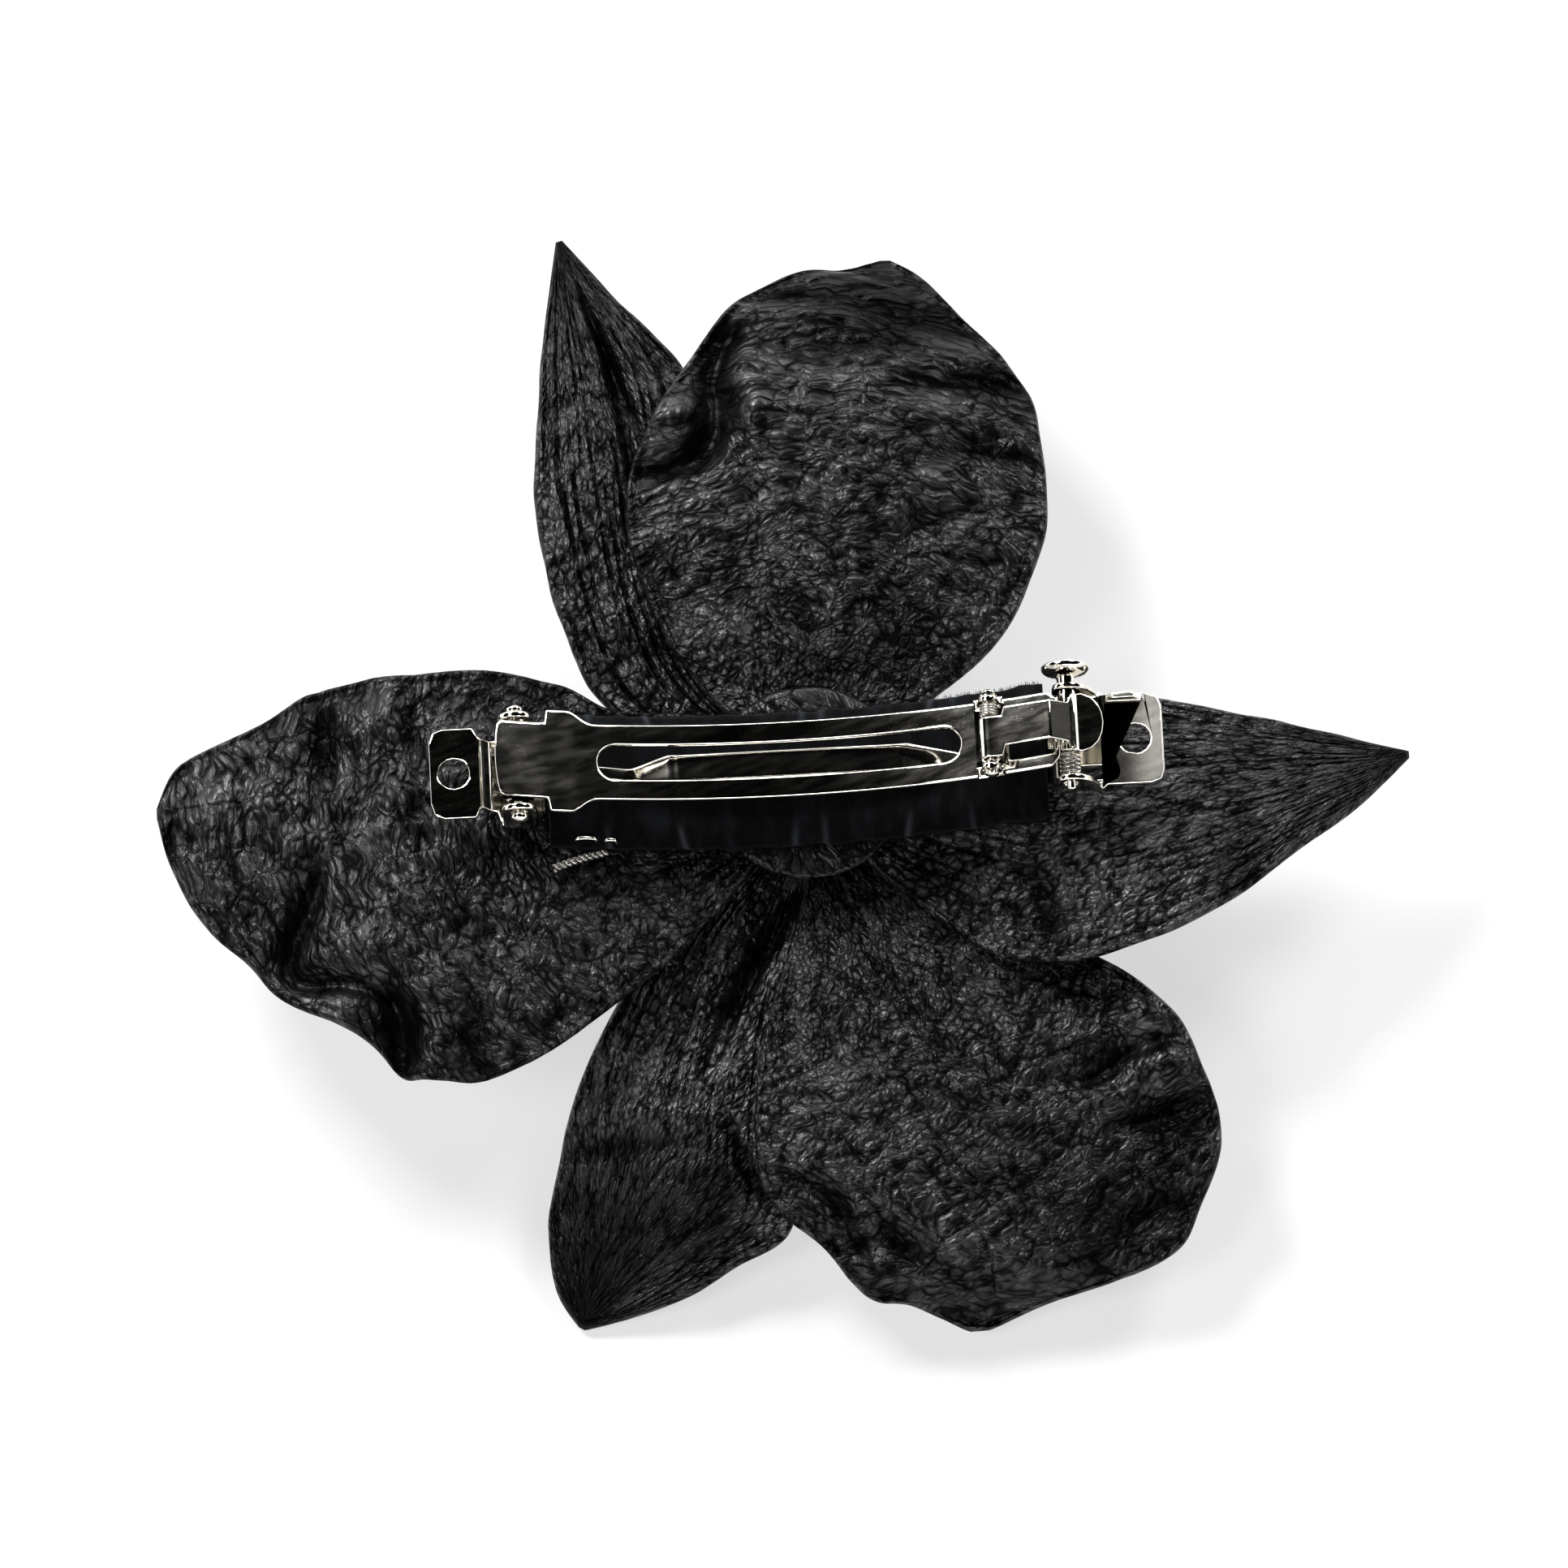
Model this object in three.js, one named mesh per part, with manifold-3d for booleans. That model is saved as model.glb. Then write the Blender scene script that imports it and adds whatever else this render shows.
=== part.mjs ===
// A hair barrette: a leather flower, lying face down, with a sprung metal clip across its back.
// Millimetres, +Z up and out of the clip's hair side, +X along the clip from its hinge to its latch.
import * as THREE from "three";
import { mergeVertices } from "three/addons/utils/BufferGeometryUtils.js";
import Module from "manifold-3d";

const wasm = await Module();
wasm.setup();

// ---- driving dimensions ----
const TAB_HEIGHT = 27; // top of the clip's end tabs above the lowest leather tip
const GAP = 0.3; // clearance kept between touching pieces
const METAL = 0.8; // sheet metal thickness
const LEATHER = 1.2; // petal thickness

const HINGE = { x: -30.2, z: 2.0, pin: 0.55, hole: 0.85, boss: 1.4 }; // arm pivot, heights from the tabs
const LATCH = { x: 21.4, z: 4.2, pin: 0.45, hole: 0.75, boss: 1.05 }; // lever pivot on the arm
const KNOB = { x: 30, z: 2.2, barrel: 1.0, tail: 0.5, head: 2.7, start: -2.0, end: 6.6 };

const ARM = { middle: -1.8, low: -0.8, radius: 81.5, half: 4.3, shoulder: 5.8, right: 28.9 };
const BASE = { middle: -2, low: -7.8, radius: 80, half: 4.3, ear: 5.6, earInner: 4.9 };
const TAB = { left: -39.8, right: 40.3, half: 5.15, hole: 1.7, holeX: 37.2 };
const STRIP = { left: -27.1, right: 27.5, half: 7.7, thickness: 0.7, flat: 4.9, drop: 1.2 };
const DISC = { x: 1.5, radius: 11, thickness: 0.8, top: 18.0 };
const STEM = { radius: 1.5, bottom: 10.7, top: 16.9 };
const CENTRE = { x: 1, y: 0 }; // flower axis

// ---- materials ----
const leather = () => new THREE.MeshStandardMaterial({ color: 0x1d1d1f, roughness: 0.42, metalness: 0 });
const velvet = () => new THREE.MeshStandardMaterial({ color: 0x08090b, roughness: 0.95, metalness: 0 });
const nickel = () => new THREE.MeshStandardMaterial({ color: 0xd9d2c2, roughness: 0.08, metalness: 1 });
const wire = () => new THREE.MeshStandardMaterial({ color: 0xb9b6ae, roughness: 0.3, metalness: 1 });

// ---- joining and cutting ----
function solidOf(geometry) {
  const bare = geometry.clone();
  bare.deleteAttribute("normal");
  bare.deleteAttribute("uv");
  const merged = mergeVertices(bare, 1e-4);
  const corners = merged.index.array;
  const kept = [];
  for (let i = 0; i < corners.length; i += 3) {
    const [a, b, c] = corners.slice(i, i + 3);
    if (a !== b && b !== c && c !== a) kept.push(a, b, c);
  }
  const triVerts = new Uint32Array(kept);
  const vertProperties = new Float32Array(merged.attributes.position.array);
  return new wasm.Manifold(new wasm.Mesh({ numProp: 3, vertProperties, triVerts }));
}

function geometryOf(solid) {
  const mesh = solid.getMesh();
  const geometry = new THREE.BufferGeometry();
  geometry.setAttribute("position", new THREE.BufferAttribute(mesh.vertProperties, 3));
  geometry.setIndex(new THREE.BufferAttribute(mesh.triVerts, 1));
  return geometry;
}

function join(first, ...rest) {
  return geometryOf(rest.reduce((sum, next) => sum.add(solidOf(next)), solidOf(first)));
}

function cut(first, ...rest) {
  return geometryOf(rest.reduce((sum, next) => sum.subtract(solidOf(next)), solidOf(first)));
}

function common(a, b) {
  return geometryOf(solidOf(a).intersect(solidOf(b)));
}

// ---- basic forms ----
// A shape drawn in plan, standing from low to high.
function plan(shape, low, high, curveSegments = 8) {
  const options = { depth: high - low, bevelEnabled: false, curveSegments };
  return new THREE.ExtrudeGeometry(shape, options).translate(0, 0, low);
}

// A shape drawn as x and z, running along Y from near to far.
function across(shape, near, far, curveSegments = 12) {
  const options = { depth: far - near, bevelEnabled: false, curveSegments };
  return new THREE.ExtrudeGeometry(shape, options).rotateX(Math.PI / 2).translate(0, far, 0);
}

// A round bar along Y.
function bar(radius, near, far, at, sides = 20) {
  const bare = new THREE.CylinderGeometry(radius, radius, far - near, sides);
  return bare.translate(at.x, (near + far) / 2, at.z);
}

function polygon(points) {
  return new THREE.Shape(points.map(([x, y]) => new THREE.Vector2(x, y)));
}

// An outline given by its upper side, left to right, and mirrored below.
function mirrored(upper) {
  const lower = upper.map(([x, y]) => [x, -y]).reverse();
  return polygon([...upper, ...lower]);
}

function roundHole(x, y, radius) {
  return new THREE.Path().absarc(x, y, radius, 0, 2 * Math.PI, false);
}

// A slot along X with round ends. Holes run anticlockwise and outlines clockwise.
function slot(left, right, y, half) {
  const path = new THREE.Path();
  path.absarc(right - half, y, half, -Math.PI / 2, Math.PI / 2, false);
  path.absarc(left + half, y, half, Math.PI / 2, (3 * Math.PI) / 2, false);
  path.closePath();
  return path;
}

// Height of a bowed strip's upper face at x.
function bowHeight(bow, x) {
  return bow.low + bow.radius - Math.sqrt(bow.radius ** 2 - (x - bow.middle) ** 2);
}

// Angle of x on a bow, seen from the bow's centre.
const bowAngle = (bow, x) => -Math.PI / 2 + Math.asin((x - bow.middle) / bow.radius);

// ---- the clip ----
function basePlate() {
  const [from, to] = [-33.2, 27.4];
  const [under, top] = [BASE.radius + METAL, BASE.low + BASE.radius];
  const side = new THREE.Shape();
  side.moveTo(TAB.left, -METAL);
  side.lineTo(TAB.left, 0);
  side.lineTo(-34.2, 0);
  side.absarc(BASE.middle, top, BASE.radius, bowAngle(BASE, from), bowAngle(BASE, to), false);
  side.lineTo(28.6, 0);
  side.lineTo(TAB.right, 0);
  side.lineTo(TAB.right, -METAL);
  side.lineTo(29.1, -METAL);
  side.absarc(BASE.middle, top, under, bowAngle(BASE, to + 0.2), bowAngle(BASE, from - 0.2), true);
  side.lineTo(-34.6, -METAL);

  const corner = 1.5;
  const outline = mirrored([
    [TAB.left, TAB.half - corner], [TAB.left + 0.4, TAB.half - 0.4], [TAB.left + corner, TAB.half],
    [-34.9, TAB.half], [-34.4, TAB.half - 1.1], [-32.6, TAB.half - 1.1],
    [-32.2, BASE.ear], [-27.6, BASE.ear], [-27.4, BASE.half], [27.8, BASE.half],
    [28.4, BASE.ear], [33.6, BASE.ear], [33.9, TAB.half],
    [TAB.right - corner, TAB.half], [TAB.right - 0.4, TAB.half - 0.4], [TAB.right, TAB.half - corner],
  ]);
  outline.holes.push(roundHole(-TAB.holeX, 0, TAB.hole));
  outline.holes.push(roundHole(TAB.holeX, 0, TAB.hole));
  outline.holes.push(slot(28.9, 35.2, -3.7, 0.8)); // relief slot beside the latch ear
  const plate = common(across(side, -8, 8, 16), plan(outline, -12, 4));

  const ears = [];
  for (const inner of [BASE.earInner, -BASE.ear]) {
    const outer = inner + BASE.ear - BASE.earInner;
    ears.push(across(hingeEar(), inner, outer), across(latchEar(), inner, outer));
  }
  return cut(
    join(plate, ...ears, tabFlange()),
    bar(HINGE.hole, -8, 8, HINGE),
    bar(KNOB.tail + GAP, -8, 0, KNOB),
    bar(KNOB.barrel + GAP, 0, 8, KNOB),
  );
}

function hingeEar() {
  const ear = new THREE.Shape();
  ear.moveTo(-32.0, -2.2);
  ear.lineTo(-32.1, HINGE.z);
  ear.absarc(HINGE.x, HINGE.z, 1.9, Math.PI, 0, true);
  ear.lineTo(-27.7, -3.8);
  ear.closePath();
  return ear;
}

function latchEar() {
  const ear = new THREE.Shape();
  ear.moveTo(28.4, -METAL / 2);
  ear.lineTo(28.4, 2.4);
  ear.quadraticCurveTo(28.6, 4.0, 30.2, 4.0);
  ear.quadraticCurveTo(32.4, 3.9, 33.4, -METAL / 2);
  ear.closePath();
  return ear;
}

// The curled edge that stiffens the latch end's tab.
function tabFlange() {
  const side = polygon([[34.2, -0.4], [34.8, 1.1], [37.2, 1.3], [38.6, -0.4]]);
  return across(side, TAB.half - METAL, TAB.half - 0.1);
}

function hingePin() {
  const pin = [[0, -6.7], [0.6, -6.6], [1.0, -6.3], [1.0, -5.9], [HINGE.pin, -5.9]];
  const profile = [...pin, ...pin.map(([r, y]) => [r, -y]).reverse()];
  return lathe(profile, 20).translate(HINGE.x, 0, HINGE.z);
}

function lathe(profile, segments = 28) {
  return new THREE.LatheGeometry(profile.map(([r, y]) => new THREE.Vector2(r, y)), segments);
}

function arm() {
  const centre = ARM.low + ARM.radius;
  const side = new THREE.Shape();
  side.absarc(ARM.middle, centre, ARM.radius, bowAngle(ARM, -33.5), bowAngle(ARM, 30), false);
  side.absarc(ARM.middle, centre, ARM.radius + METAL, bowAngle(ARM, 30), bowAngle(ARM, -33.5), true);
  side.closePath();

  const outline = new THREE.Shape();
  outline.moveTo(-32.2, -3.9);
  outline.quadraticCurveTo(-32.9, 0, -32.2, 3.9);
  outline.lineTo(-31.8, ARM.half);
  outline.lineTo(-27, ARM.half);
  outline.lineTo(-26.8, ARM.shoulder);
  outline.lineTo(-24.6, ARM.shoulder);
  outline.bezierCurveTo(-23.4, ARM.shoulder, -23.0, ARM.half, -21.3, ARM.half);
  outline.lineTo(ARM.right - 1, ARM.half);
  outline.lineTo(ARM.right, ARM.half - 1);
  outline.lineTo(ARM.right, 1 - ARM.half);
  outline.lineTo(ARM.right - 1, -ARM.half);
  outline.lineTo(-21.3, -ARM.half);
  outline.bezierCurveTo(-23.0, -ARM.half, -23.4, -ARM.shoulder, -24.6, -ARM.shoulder);
  outline.lineTo(-26.8, -ARM.shoulder);
  outline.lineTo(-27, -ARM.half);
  outline.lineTo(-31.8, -ARM.half);
  outline.closePath();
  outline.holes.push(slot(-21.4, 18.2, 0, 2.0));
  const windowHalf = 2.8;
  const window = [[23.4, -windowHalf], [28.3, -windowHalf], [28.3, windowHalf], [23.4, windowHalf]];
  outline.holes.push(polygon(window));
  const plate = common(across(side, -8, 8, 16), plan(outline, -3, 9));

  const lugs = [];
  for (const near of [3.5, -4.2]) {
    lugs.push(across(hingeLug(), near, near + 0.7), across(leverLug(), near, near + 0.7));
  }
  return cut(join(plate, ...lugs), bar(HINGE.hole, -5, 5, HINGE), bar(LATCH.hole, -5, 5, LATCH));
}

// Ears bent down from the arm round the hinge pin.
function hingeLug() {
  const lug = new THREE.Shape();
  lug.absarc(HINGE.x, HINGE.z, HINGE.boss, Math.PI, 2 * Math.PI, false);
  lug.lineTo(HINGE.x + HINGE.boss, 3.7);
  lug.lineTo(HINGE.x - HINGE.boss, 4.3);
  lug.closePath();
  return lug;
}

// Ears bent up from the arm round the lever's pin.
function leverLug() {
  const lug = new THREE.Shape();
  lug.absarc(LATCH.x, LATCH.z, LATCH.boss, 0, Math.PI, false);
  lug.lineTo(LATCH.x - LATCH.boss - 0.3, 1.9);
  lug.lineTo(LATCH.x + LATCH.boss + 0.3, 2.5);
  lug.closePath();
  return lug;
}

function tensionBar() {
  const thick = 0.5;
  const top = [
    [-29.5, 1.7], [-27.6, 0.8], [-18.4, -3.6], [-17.7, -3.75], [-13.7, -3.2], [12.2, -3.2], [18.2, -3.75],
  ];
  const side = polygon([...top, ...top.map(([x, z]) => [x, z - thick]).reverse()]);
  const outline = mirrored([[-30, 0.7], [-17.9, 0.7], [-13.9, 2.3], [12.4, 2.3], [18.2, 0.6]]);
  const strip = common(across(side, -4, 4), plan(outline, -6, 4));
  const eye = bar(1.2, -0.7, 0.7, HINGE);
  return cut(join(strip, eye), bar(HINGE.hole, -3, 3, HINGE));
}

function latchLever() {
  const thick = 0.5;
  const roll = LATCH.hole + 0.4;
  const top = [
    [LATCH.x, LATCH.z + roll], [22.8, 5.6], [28.0, 7.3], [30.4, 5.5], [30.7, 5.9], [31.0, 5.4], [33.9, 5.0],
  ];
  const side = polygon([...top, ...top.map(([x, z]) => [x, z - thick]).reverse()]);
  const outline = new THREE.Shape();
  outline.moveTo(20, -3.0);
  outline.lineTo(22.7, -3.0);
  outline.lineTo(23.0, -1.8);
  outline.lineTo(29.9, -1.8);
  outline.lineTo(30.4, -2.9);
  outline.lineTo(31.3, -2.9);
  outline.bezierCurveTo(34.6, -2.6, 34.6, 3.4, 31.6, 3.7);
  outline.lineTo(30.4, 3.7);
  outline.lineTo(29.9, 2.6);
  outline.lineTo(23.0, 2.6);
  outline.lineTo(22.7, 1.6);
  outline.lineTo(20, 1.6);
  outline.closePath();
  const strap = common(across(side, -5, 5), plan(outline, 2, 9));
  const hookSide = polygon([[27.2, 7.0], [27.2, 0.9], [28.3, 0.9], [28.3, 1.4], [27.8, 1.5], [27.8, 7.0]]);
  const hook = across(hookSide, -1.2, 2.0);
  return cut(join(strap, bar(roll, -3.0, 1.6, LATCH), hook), bar(LATCH.hole, -4, 4, LATCH));
}

function latchPin() {
  const half = [[0, -5.0], [0.5, -4.9], [0.8, -4.7], [0.8, -4.5], [LATCH.pin, -4.5]];
  const profile = [...half, ...half.map(([r, y]) => [r, -y]).reverse()];
  return lathe(profile, 16).translate(LATCH.x, 0, LATCH.z);
}

// A sleeve the size of a small coil, closed on itself, along Y.
function coilSleeve(inner, outer, near, far, at) {
  const profile = [[inner, near], [outer, near], [outer, far], [inner, far], [inner, near]];
  return lathe(profile, 18).translate(at.x, 0, at.z);
}

function releaseKnob() {
  const profile = [
    [0, -6.3], [KNOB.tail, -6.2], [KNOB.tail, KNOB.start],
    [KNOB.barrel, KNOB.start], [KNOB.barrel, KNOB.end],
    [2.2, KNOB.end + 0.2], [KNOB.head, KNOB.end + 0.7], [KNOB.head - 0.1, KNOB.end + 1.0],
    [1.9, KNOB.end + 1.35], [0, KNOB.end + 1.5],
  ];
  return lathe(profile, 32).translate(KNOB.x, 0, KNOB.z);
}

// ---- the backing ----
// A thin body over a plan given by a function of its two sides, both from 0 to 1.
function sheet(acrossCount, alongCount, place) {
  const geometry = new THREE.BoxGeometry(1, 1, 1, acrossCount, alongCount, 1);
  const position = geometry.getAttribute("position");
  for (let i = 0; i < position.count; i++) {
    const point = place(position.getX(i) + 0.5, position.getY(i) + 0.5, position.getZ(i));
    position.setXYZ(i, point.x, point.y, point.z);
  }
  return geometry;
}

function backingStrip() {
  const sides = [-1, -0.8, -STRIP.flat / STRIP.half, 0, STRIP.flat / STRIP.half, 0.8, 1];
  return sheet(26, sides.length - 1, (u, v, side) => {
    const x = STRIP.left + (STRIP.right - STRIP.left) * u;
    const y = STRIP.half * sides[Math.round(v * (sides.length - 1))];
    const outside = Math.max(0, (Math.abs(y) - STRIP.flat) / (STRIP.half - STRIP.flat));
    const middle = bowHeight(BASE, x) + GAP + STRIP.thickness / 2;
    return { x, y, z: TAB_HEIGHT + middle - STRIP.drop * outside + side * STRIP.thickness };
  });
}

function backingDisc() {
  const bare = new THREE.CylinderGeometry(DISC.radius, DISC.radius, DISC.thickness, 40);
  return bare.rotateX(Math.PI / 2).translate(DISC.x, 0, DISC.top - DISC.thickness / 2);
}

// ---- the flower ----
const points = (list) => list.map(([x, y]) => new THREE.Vector2(x, y));

// A petal between a left and a right edge, both drawn from base to tip, with heights evenly spaced along it.
function petal({ left, right, heights, cup }) {
  const leftEdge = new THREE.SplineCurve(points(left));
  const rightEdge = new THREE.SplineCurve(points(right));
  const rise = new THREE.SplineCurve(points(heights.map((z, i) => [i, z])));
  return sheet(6, 15, (u, v, side) => {
    const a = leftEdge.getPointAt(v);
    const b = rightEdge.getPointAt(v);
    const fall = cup * (2 * u - 1) ** 2 * Math.min(1, 2.5 * v, 4 * (1 - v));
    const z = rise.getPoint(v).y - fall + side * LEATHER;
    return { x: a.x + (b.x - a.x) * u, y: a.y + (b.y - a.y) * u, z };
  });
}

const PETALS = {
  petal_top_left: {
    left: [
      [0, 2.4], [-12, 6.5], [-20, 11.5], [-25, 22], [-27, 36], [-26, 50], [-24.8, 59], [-23.4, 67.4],
    ],
    right: [[1, 2.8], [-6, 14], [-8.5, 27], [-8, 40], [-10, 51], [-16.8, 59.7], [-22.7, 67.6]],
    heights: [11.5, 11.4, 12.4, 12.9, 12.4, 10.5, 8],
    cup: 1.5,
  },
  petal_top: {
    left: [
      [0.5, 2.4], [-8, 10], [-13.5, 18], [-17, 30], [-16, 38], [-12, 45.5], [-9, 50], [-4, 56.5],
      [3.4, 60.4], [11, 61.8],
    ],
    right: [
      [2.6, 2.2], [14.7, 8.8], [23.5, 16], [28.5, 26], [29.2, 33], [28, 41], [24, 48.5], [19, 56],
      [15.5, 60.5], [12, 62],
    ],
    heights: [16.3, 16.3, 17.8, 18.8, 18.4, 15.5, 11.5],
    cup: 1.8,
  },
  petal_right: {
    left: [[3.2, 0.8], [20, 7.4], [33, 7.3], [40, 6.6], [50, 4.5], [61, 2], [67.3, 0.6]],
    right: [
      [2.8, -0.8], [7.6, -8.6], [13.5, -14.8], [20.5, -20.5], [27.5, -22.5], [36, -21.4], [44, -18.5],
      [52, -13], [61, -6.3], [67.3, -0.2],
    ],
    heights: [14.7, 14.8, 17, 19.6, 21.4, 20.6, 18.4, 15.4],
    cup: 1.4,
  },
  petal_bottom_right: {
    left: [
      [2.8, -1.4], [14.6, -10.3], [31.5, -20], [39.3, -26.3], [43, -33.5], [44.5, -41.5], [42, -47.8],
      [39, -53], [32, -55.6], [24.6, -57], [18, -58.8],
    ],
    right: [
      [1.4, -2.4], [0.5, -10.4], [-3.4, -22.6], [-6, -33], [-6.3, -42.3], [-4, -47.6], [1, -52],
      [7, -55.8], [12, -57.5], [17, -58.9],
    ],
    heights: [13.1, 13.1, 14.2, 14, 12.2, 8.4, 2.6],
    cup: 1.2,
  },
  petal_bottom_left: {
    left: [
      [0.9, -2.5], [1.2, -10], [-1, -25], [-2.5, -38.5], [-3, -48], [-9, -51.2], [-14.6, -54],
      [-21, -55.5], [-26.2, -56.3],
    ],
    right: [
      [0, -2], [-14, -11.8], [-21.4, -22.8], [-26.3, -33], [-29, -42.3], [-29.6, -46.3], [-29, -52],
      [-26.8, -55.9],
    ],
    heights: [11.5, 11.2, 10.9, 10.2, 8, 4.5, 1],
    cup: 1,
  },
  petal_left: {
    left: [
      [-1, -1], [-5.4, -9.2], [-12.5, -17.6], [-21.4, -24.9], [-28.3, -29.4], [-35.6, -32.8],
      [-41.9, -32.6], [-48.3, -27.8], [-55.7, -23.4], [-60, -18.9], [-65.5, -13.3], [-68.7, -6.4],
      [-70, -0.7],
    ],
    right: [
      [-1.2, 1], [-8.5, 8], [-19.7, 9.6], [-25.3, 12.4], [-33.2, 13.8], [-44, 13.5], [-52.6, 12],
      [-60.4, 8], [-67.3, 5.2], [-70, 0.5],
    ],
    heights: [16.3, 16.3, 18.6, 21, 22.4, 22, 20.4, 18.4],
    cup: 1.5,
  },
};

// A small inner petal that closes round the bud, swept about the flower's axis.
const INNER = {
  count: 3,
  reach: [2.6, 6.4, 8.6, 9.2],
  heights: [9.9, 8.4, 4.6, 0.5],
  spread: 0.82,
  thick: 1.0,
};

function innerPetal(turn) {
  const pairs = INNER.reach.map((r, i) => [r, INNER.heights[i]]);
  const profile = new THREE.SplineCurve(points(pairs));
  return sheet(6, 6, (u, v, side) => {
    const at = profile.getPoint(v);
    const along = profile.getTangent(v);
    const width = INNER.spread * Math.sqrt(Math.max(0.12, 1 - (0.95 * v) ** 3));
    const angle = turn - (u - 0.5) * 2 * width;
    const r = at.x - along.y * side * INNER.thick;
    const z = at.y + along.x * side * INNER.thick;
    return { x: CENTRE.x + r * Math.cos(angle), y: CENTRE.y + r * Math.sin(angle), z };
  });
}

function bud() {
  const profile = [[0, 2.0], [1.0, 2.4], [2.1, 4.2], [2.5, 6.6], [1.9, 9.2], [1.2, 10.3], [0, 10.3]];
  return lathe(profile, 24).rotateX(Math.PI / 2).translate(CENTRE.x, CENTRE.y, 0);
}

function stem() {
  const height = STEM.top - STEM.bottom;
  const bare = new THREE.CylinderGeometry(STEM.radius, STEM.radius, height, 20);
  return bare.rotateX(Math.PI / 2).translate(CENTRE.x, CENTRE.y, (STEM.top + STEM.bottom) / 2);
}

function wireTail() {
  const path = new THREE.CatmullRomCurve3([
    new THREE.Vector3(-19.6, -8.6, 20.2),
    new THREE.Vector3(-23.4, -9.6, 21.2),
    new THREE.Vector3(-27.0, -11.2, 22.2),
  ]);
  const section = new THREE.Shape().absarc(0, 0, 0.45, 0, 2 * Math.PI, false);
  return new THREE.ExtrudeGeometry(section, { steps: 8, extrudePath: path, curveSegments: 4 });
}

// ---- assembly ----
function add(group, name, geometry, material) {
  const mesh = new THREE.Mesh(geometry, material);
  mesh.name = name;
  group.add(mesh);
}

function clip() {
  const group = new THREE.Group();
  group.position.z = TAB_HEIGHT;
  add(group, "base_plate", basePlate(), nickel());
  add(group, "hinge_pin", hingePin(), nickel());
  add(group, "arm", arm(), nickel());
  add(group, "tension_bar", tensionBar(), nickel());
  add(group, "latch_lever", latchLever(), nickel());
  add(group, "latch_pin", latchPin(), nickel());
  add(group, "lever_spring", coilSleeve(LATCH.hole, 1.05, 1.9, 3.2, LATCH), wire());
  add(group, "release_knob", releaseKnob(), nickel());
  add(group, "knob_spring", coilSleeve(KNOB.tail + GAP, 1.2, -4.6, KNOB.start - GAP, KNOB), wire());
  return group;
}

function flower() {
  const group = new THREE.Group();
  for (const [name, form] of Object.entries(PETALS)) {
    add(group, name, petal(form), leather());
  }
  for (let i = 0; i < INNER.count; i++) {
    const turn = Math.PI / 2 + (i * 2 * Math.PI) / INNER.count;
    add(group, `inner_petal_${i + 1}`, innerPetal(turn), leather());
  }
  add(group, "bud", bud(), leather());
  add(group, "stem", stem(), wire());
  add(group, "backing_disc", backingDisc(), leather());
  add(group, "backing_strip", backingStrip(), velvet());
  add(group, "wire_tail", wireTail(), wire());
  return group;
}

// The origin is the middle of the underside of the whole part's box.
function barrette() {
  const part = new THREE.Group();
  part.add(clip(), flower());
  const box = new THREE.Box3().setFromObject(part);
  part.position.set(-(box.min.x + box.max.x) / 2, -(box.min.y + box.max.y) / 2, -box.min.z);
  const root = new THREE.Group();
  root.add(part);
  return root;
}

export default barrette();
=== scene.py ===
"""A leather flower barrette, lying flower side down with its metal clip up."""
import math

import bmesh
import bpy
import numpy as np
from mathutils import Matrix, Vector


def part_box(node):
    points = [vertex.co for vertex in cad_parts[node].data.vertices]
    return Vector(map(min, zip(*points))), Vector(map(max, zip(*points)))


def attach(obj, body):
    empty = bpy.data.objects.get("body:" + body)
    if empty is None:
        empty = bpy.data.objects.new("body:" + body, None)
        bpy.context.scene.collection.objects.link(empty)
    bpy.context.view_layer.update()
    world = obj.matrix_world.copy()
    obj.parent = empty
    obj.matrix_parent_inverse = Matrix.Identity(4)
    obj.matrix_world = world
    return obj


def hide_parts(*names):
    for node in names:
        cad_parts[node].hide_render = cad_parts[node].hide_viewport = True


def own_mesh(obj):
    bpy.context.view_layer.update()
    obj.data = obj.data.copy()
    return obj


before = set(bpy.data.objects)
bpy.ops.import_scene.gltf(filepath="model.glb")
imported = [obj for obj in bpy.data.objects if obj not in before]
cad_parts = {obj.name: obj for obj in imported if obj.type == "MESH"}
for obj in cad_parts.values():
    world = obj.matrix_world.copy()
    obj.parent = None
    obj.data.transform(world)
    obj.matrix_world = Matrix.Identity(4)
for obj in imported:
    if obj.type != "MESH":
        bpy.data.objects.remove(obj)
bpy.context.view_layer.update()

MM = 0.001

# The clip's and flower's own drawing is in millimetres: x from the clip's middle, y from its centre line,
# z from the lowest leather tip, with the tabs' tops at TAB. ORIGIN puts that drawing in the frame.
TAB = 27.0
TAB_END = 39.8
DISC_TOP = 18.0
plate_low, plate_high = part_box("base_plate")
ORIGIN = Vector((
    plate_low.x + TAB_END * MM,
    (plate_low.y + plate_high.y) / 2,
    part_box("backing_disc")[1].z - DISC_TOP * MM,
))
CENTRE = (1.0, 0.0)  # the flower's axis in the drawing

SCALE_RADIUS = 35.0  # turns an angle round the flower into millimetres, halfway out along a petal

# The clip's pivots in the drawing, as x and height.
HINGE = (-30.2, TAB + 2)
LATCH = (21.4, TAB + 4.2)
KNOB = (30, TAB + 2.2)


def place(points):
    """Drawing millimetres to metres in the frame."""
    return np.asarray(points, float) * MM + np.array(ORIGIN)


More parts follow.
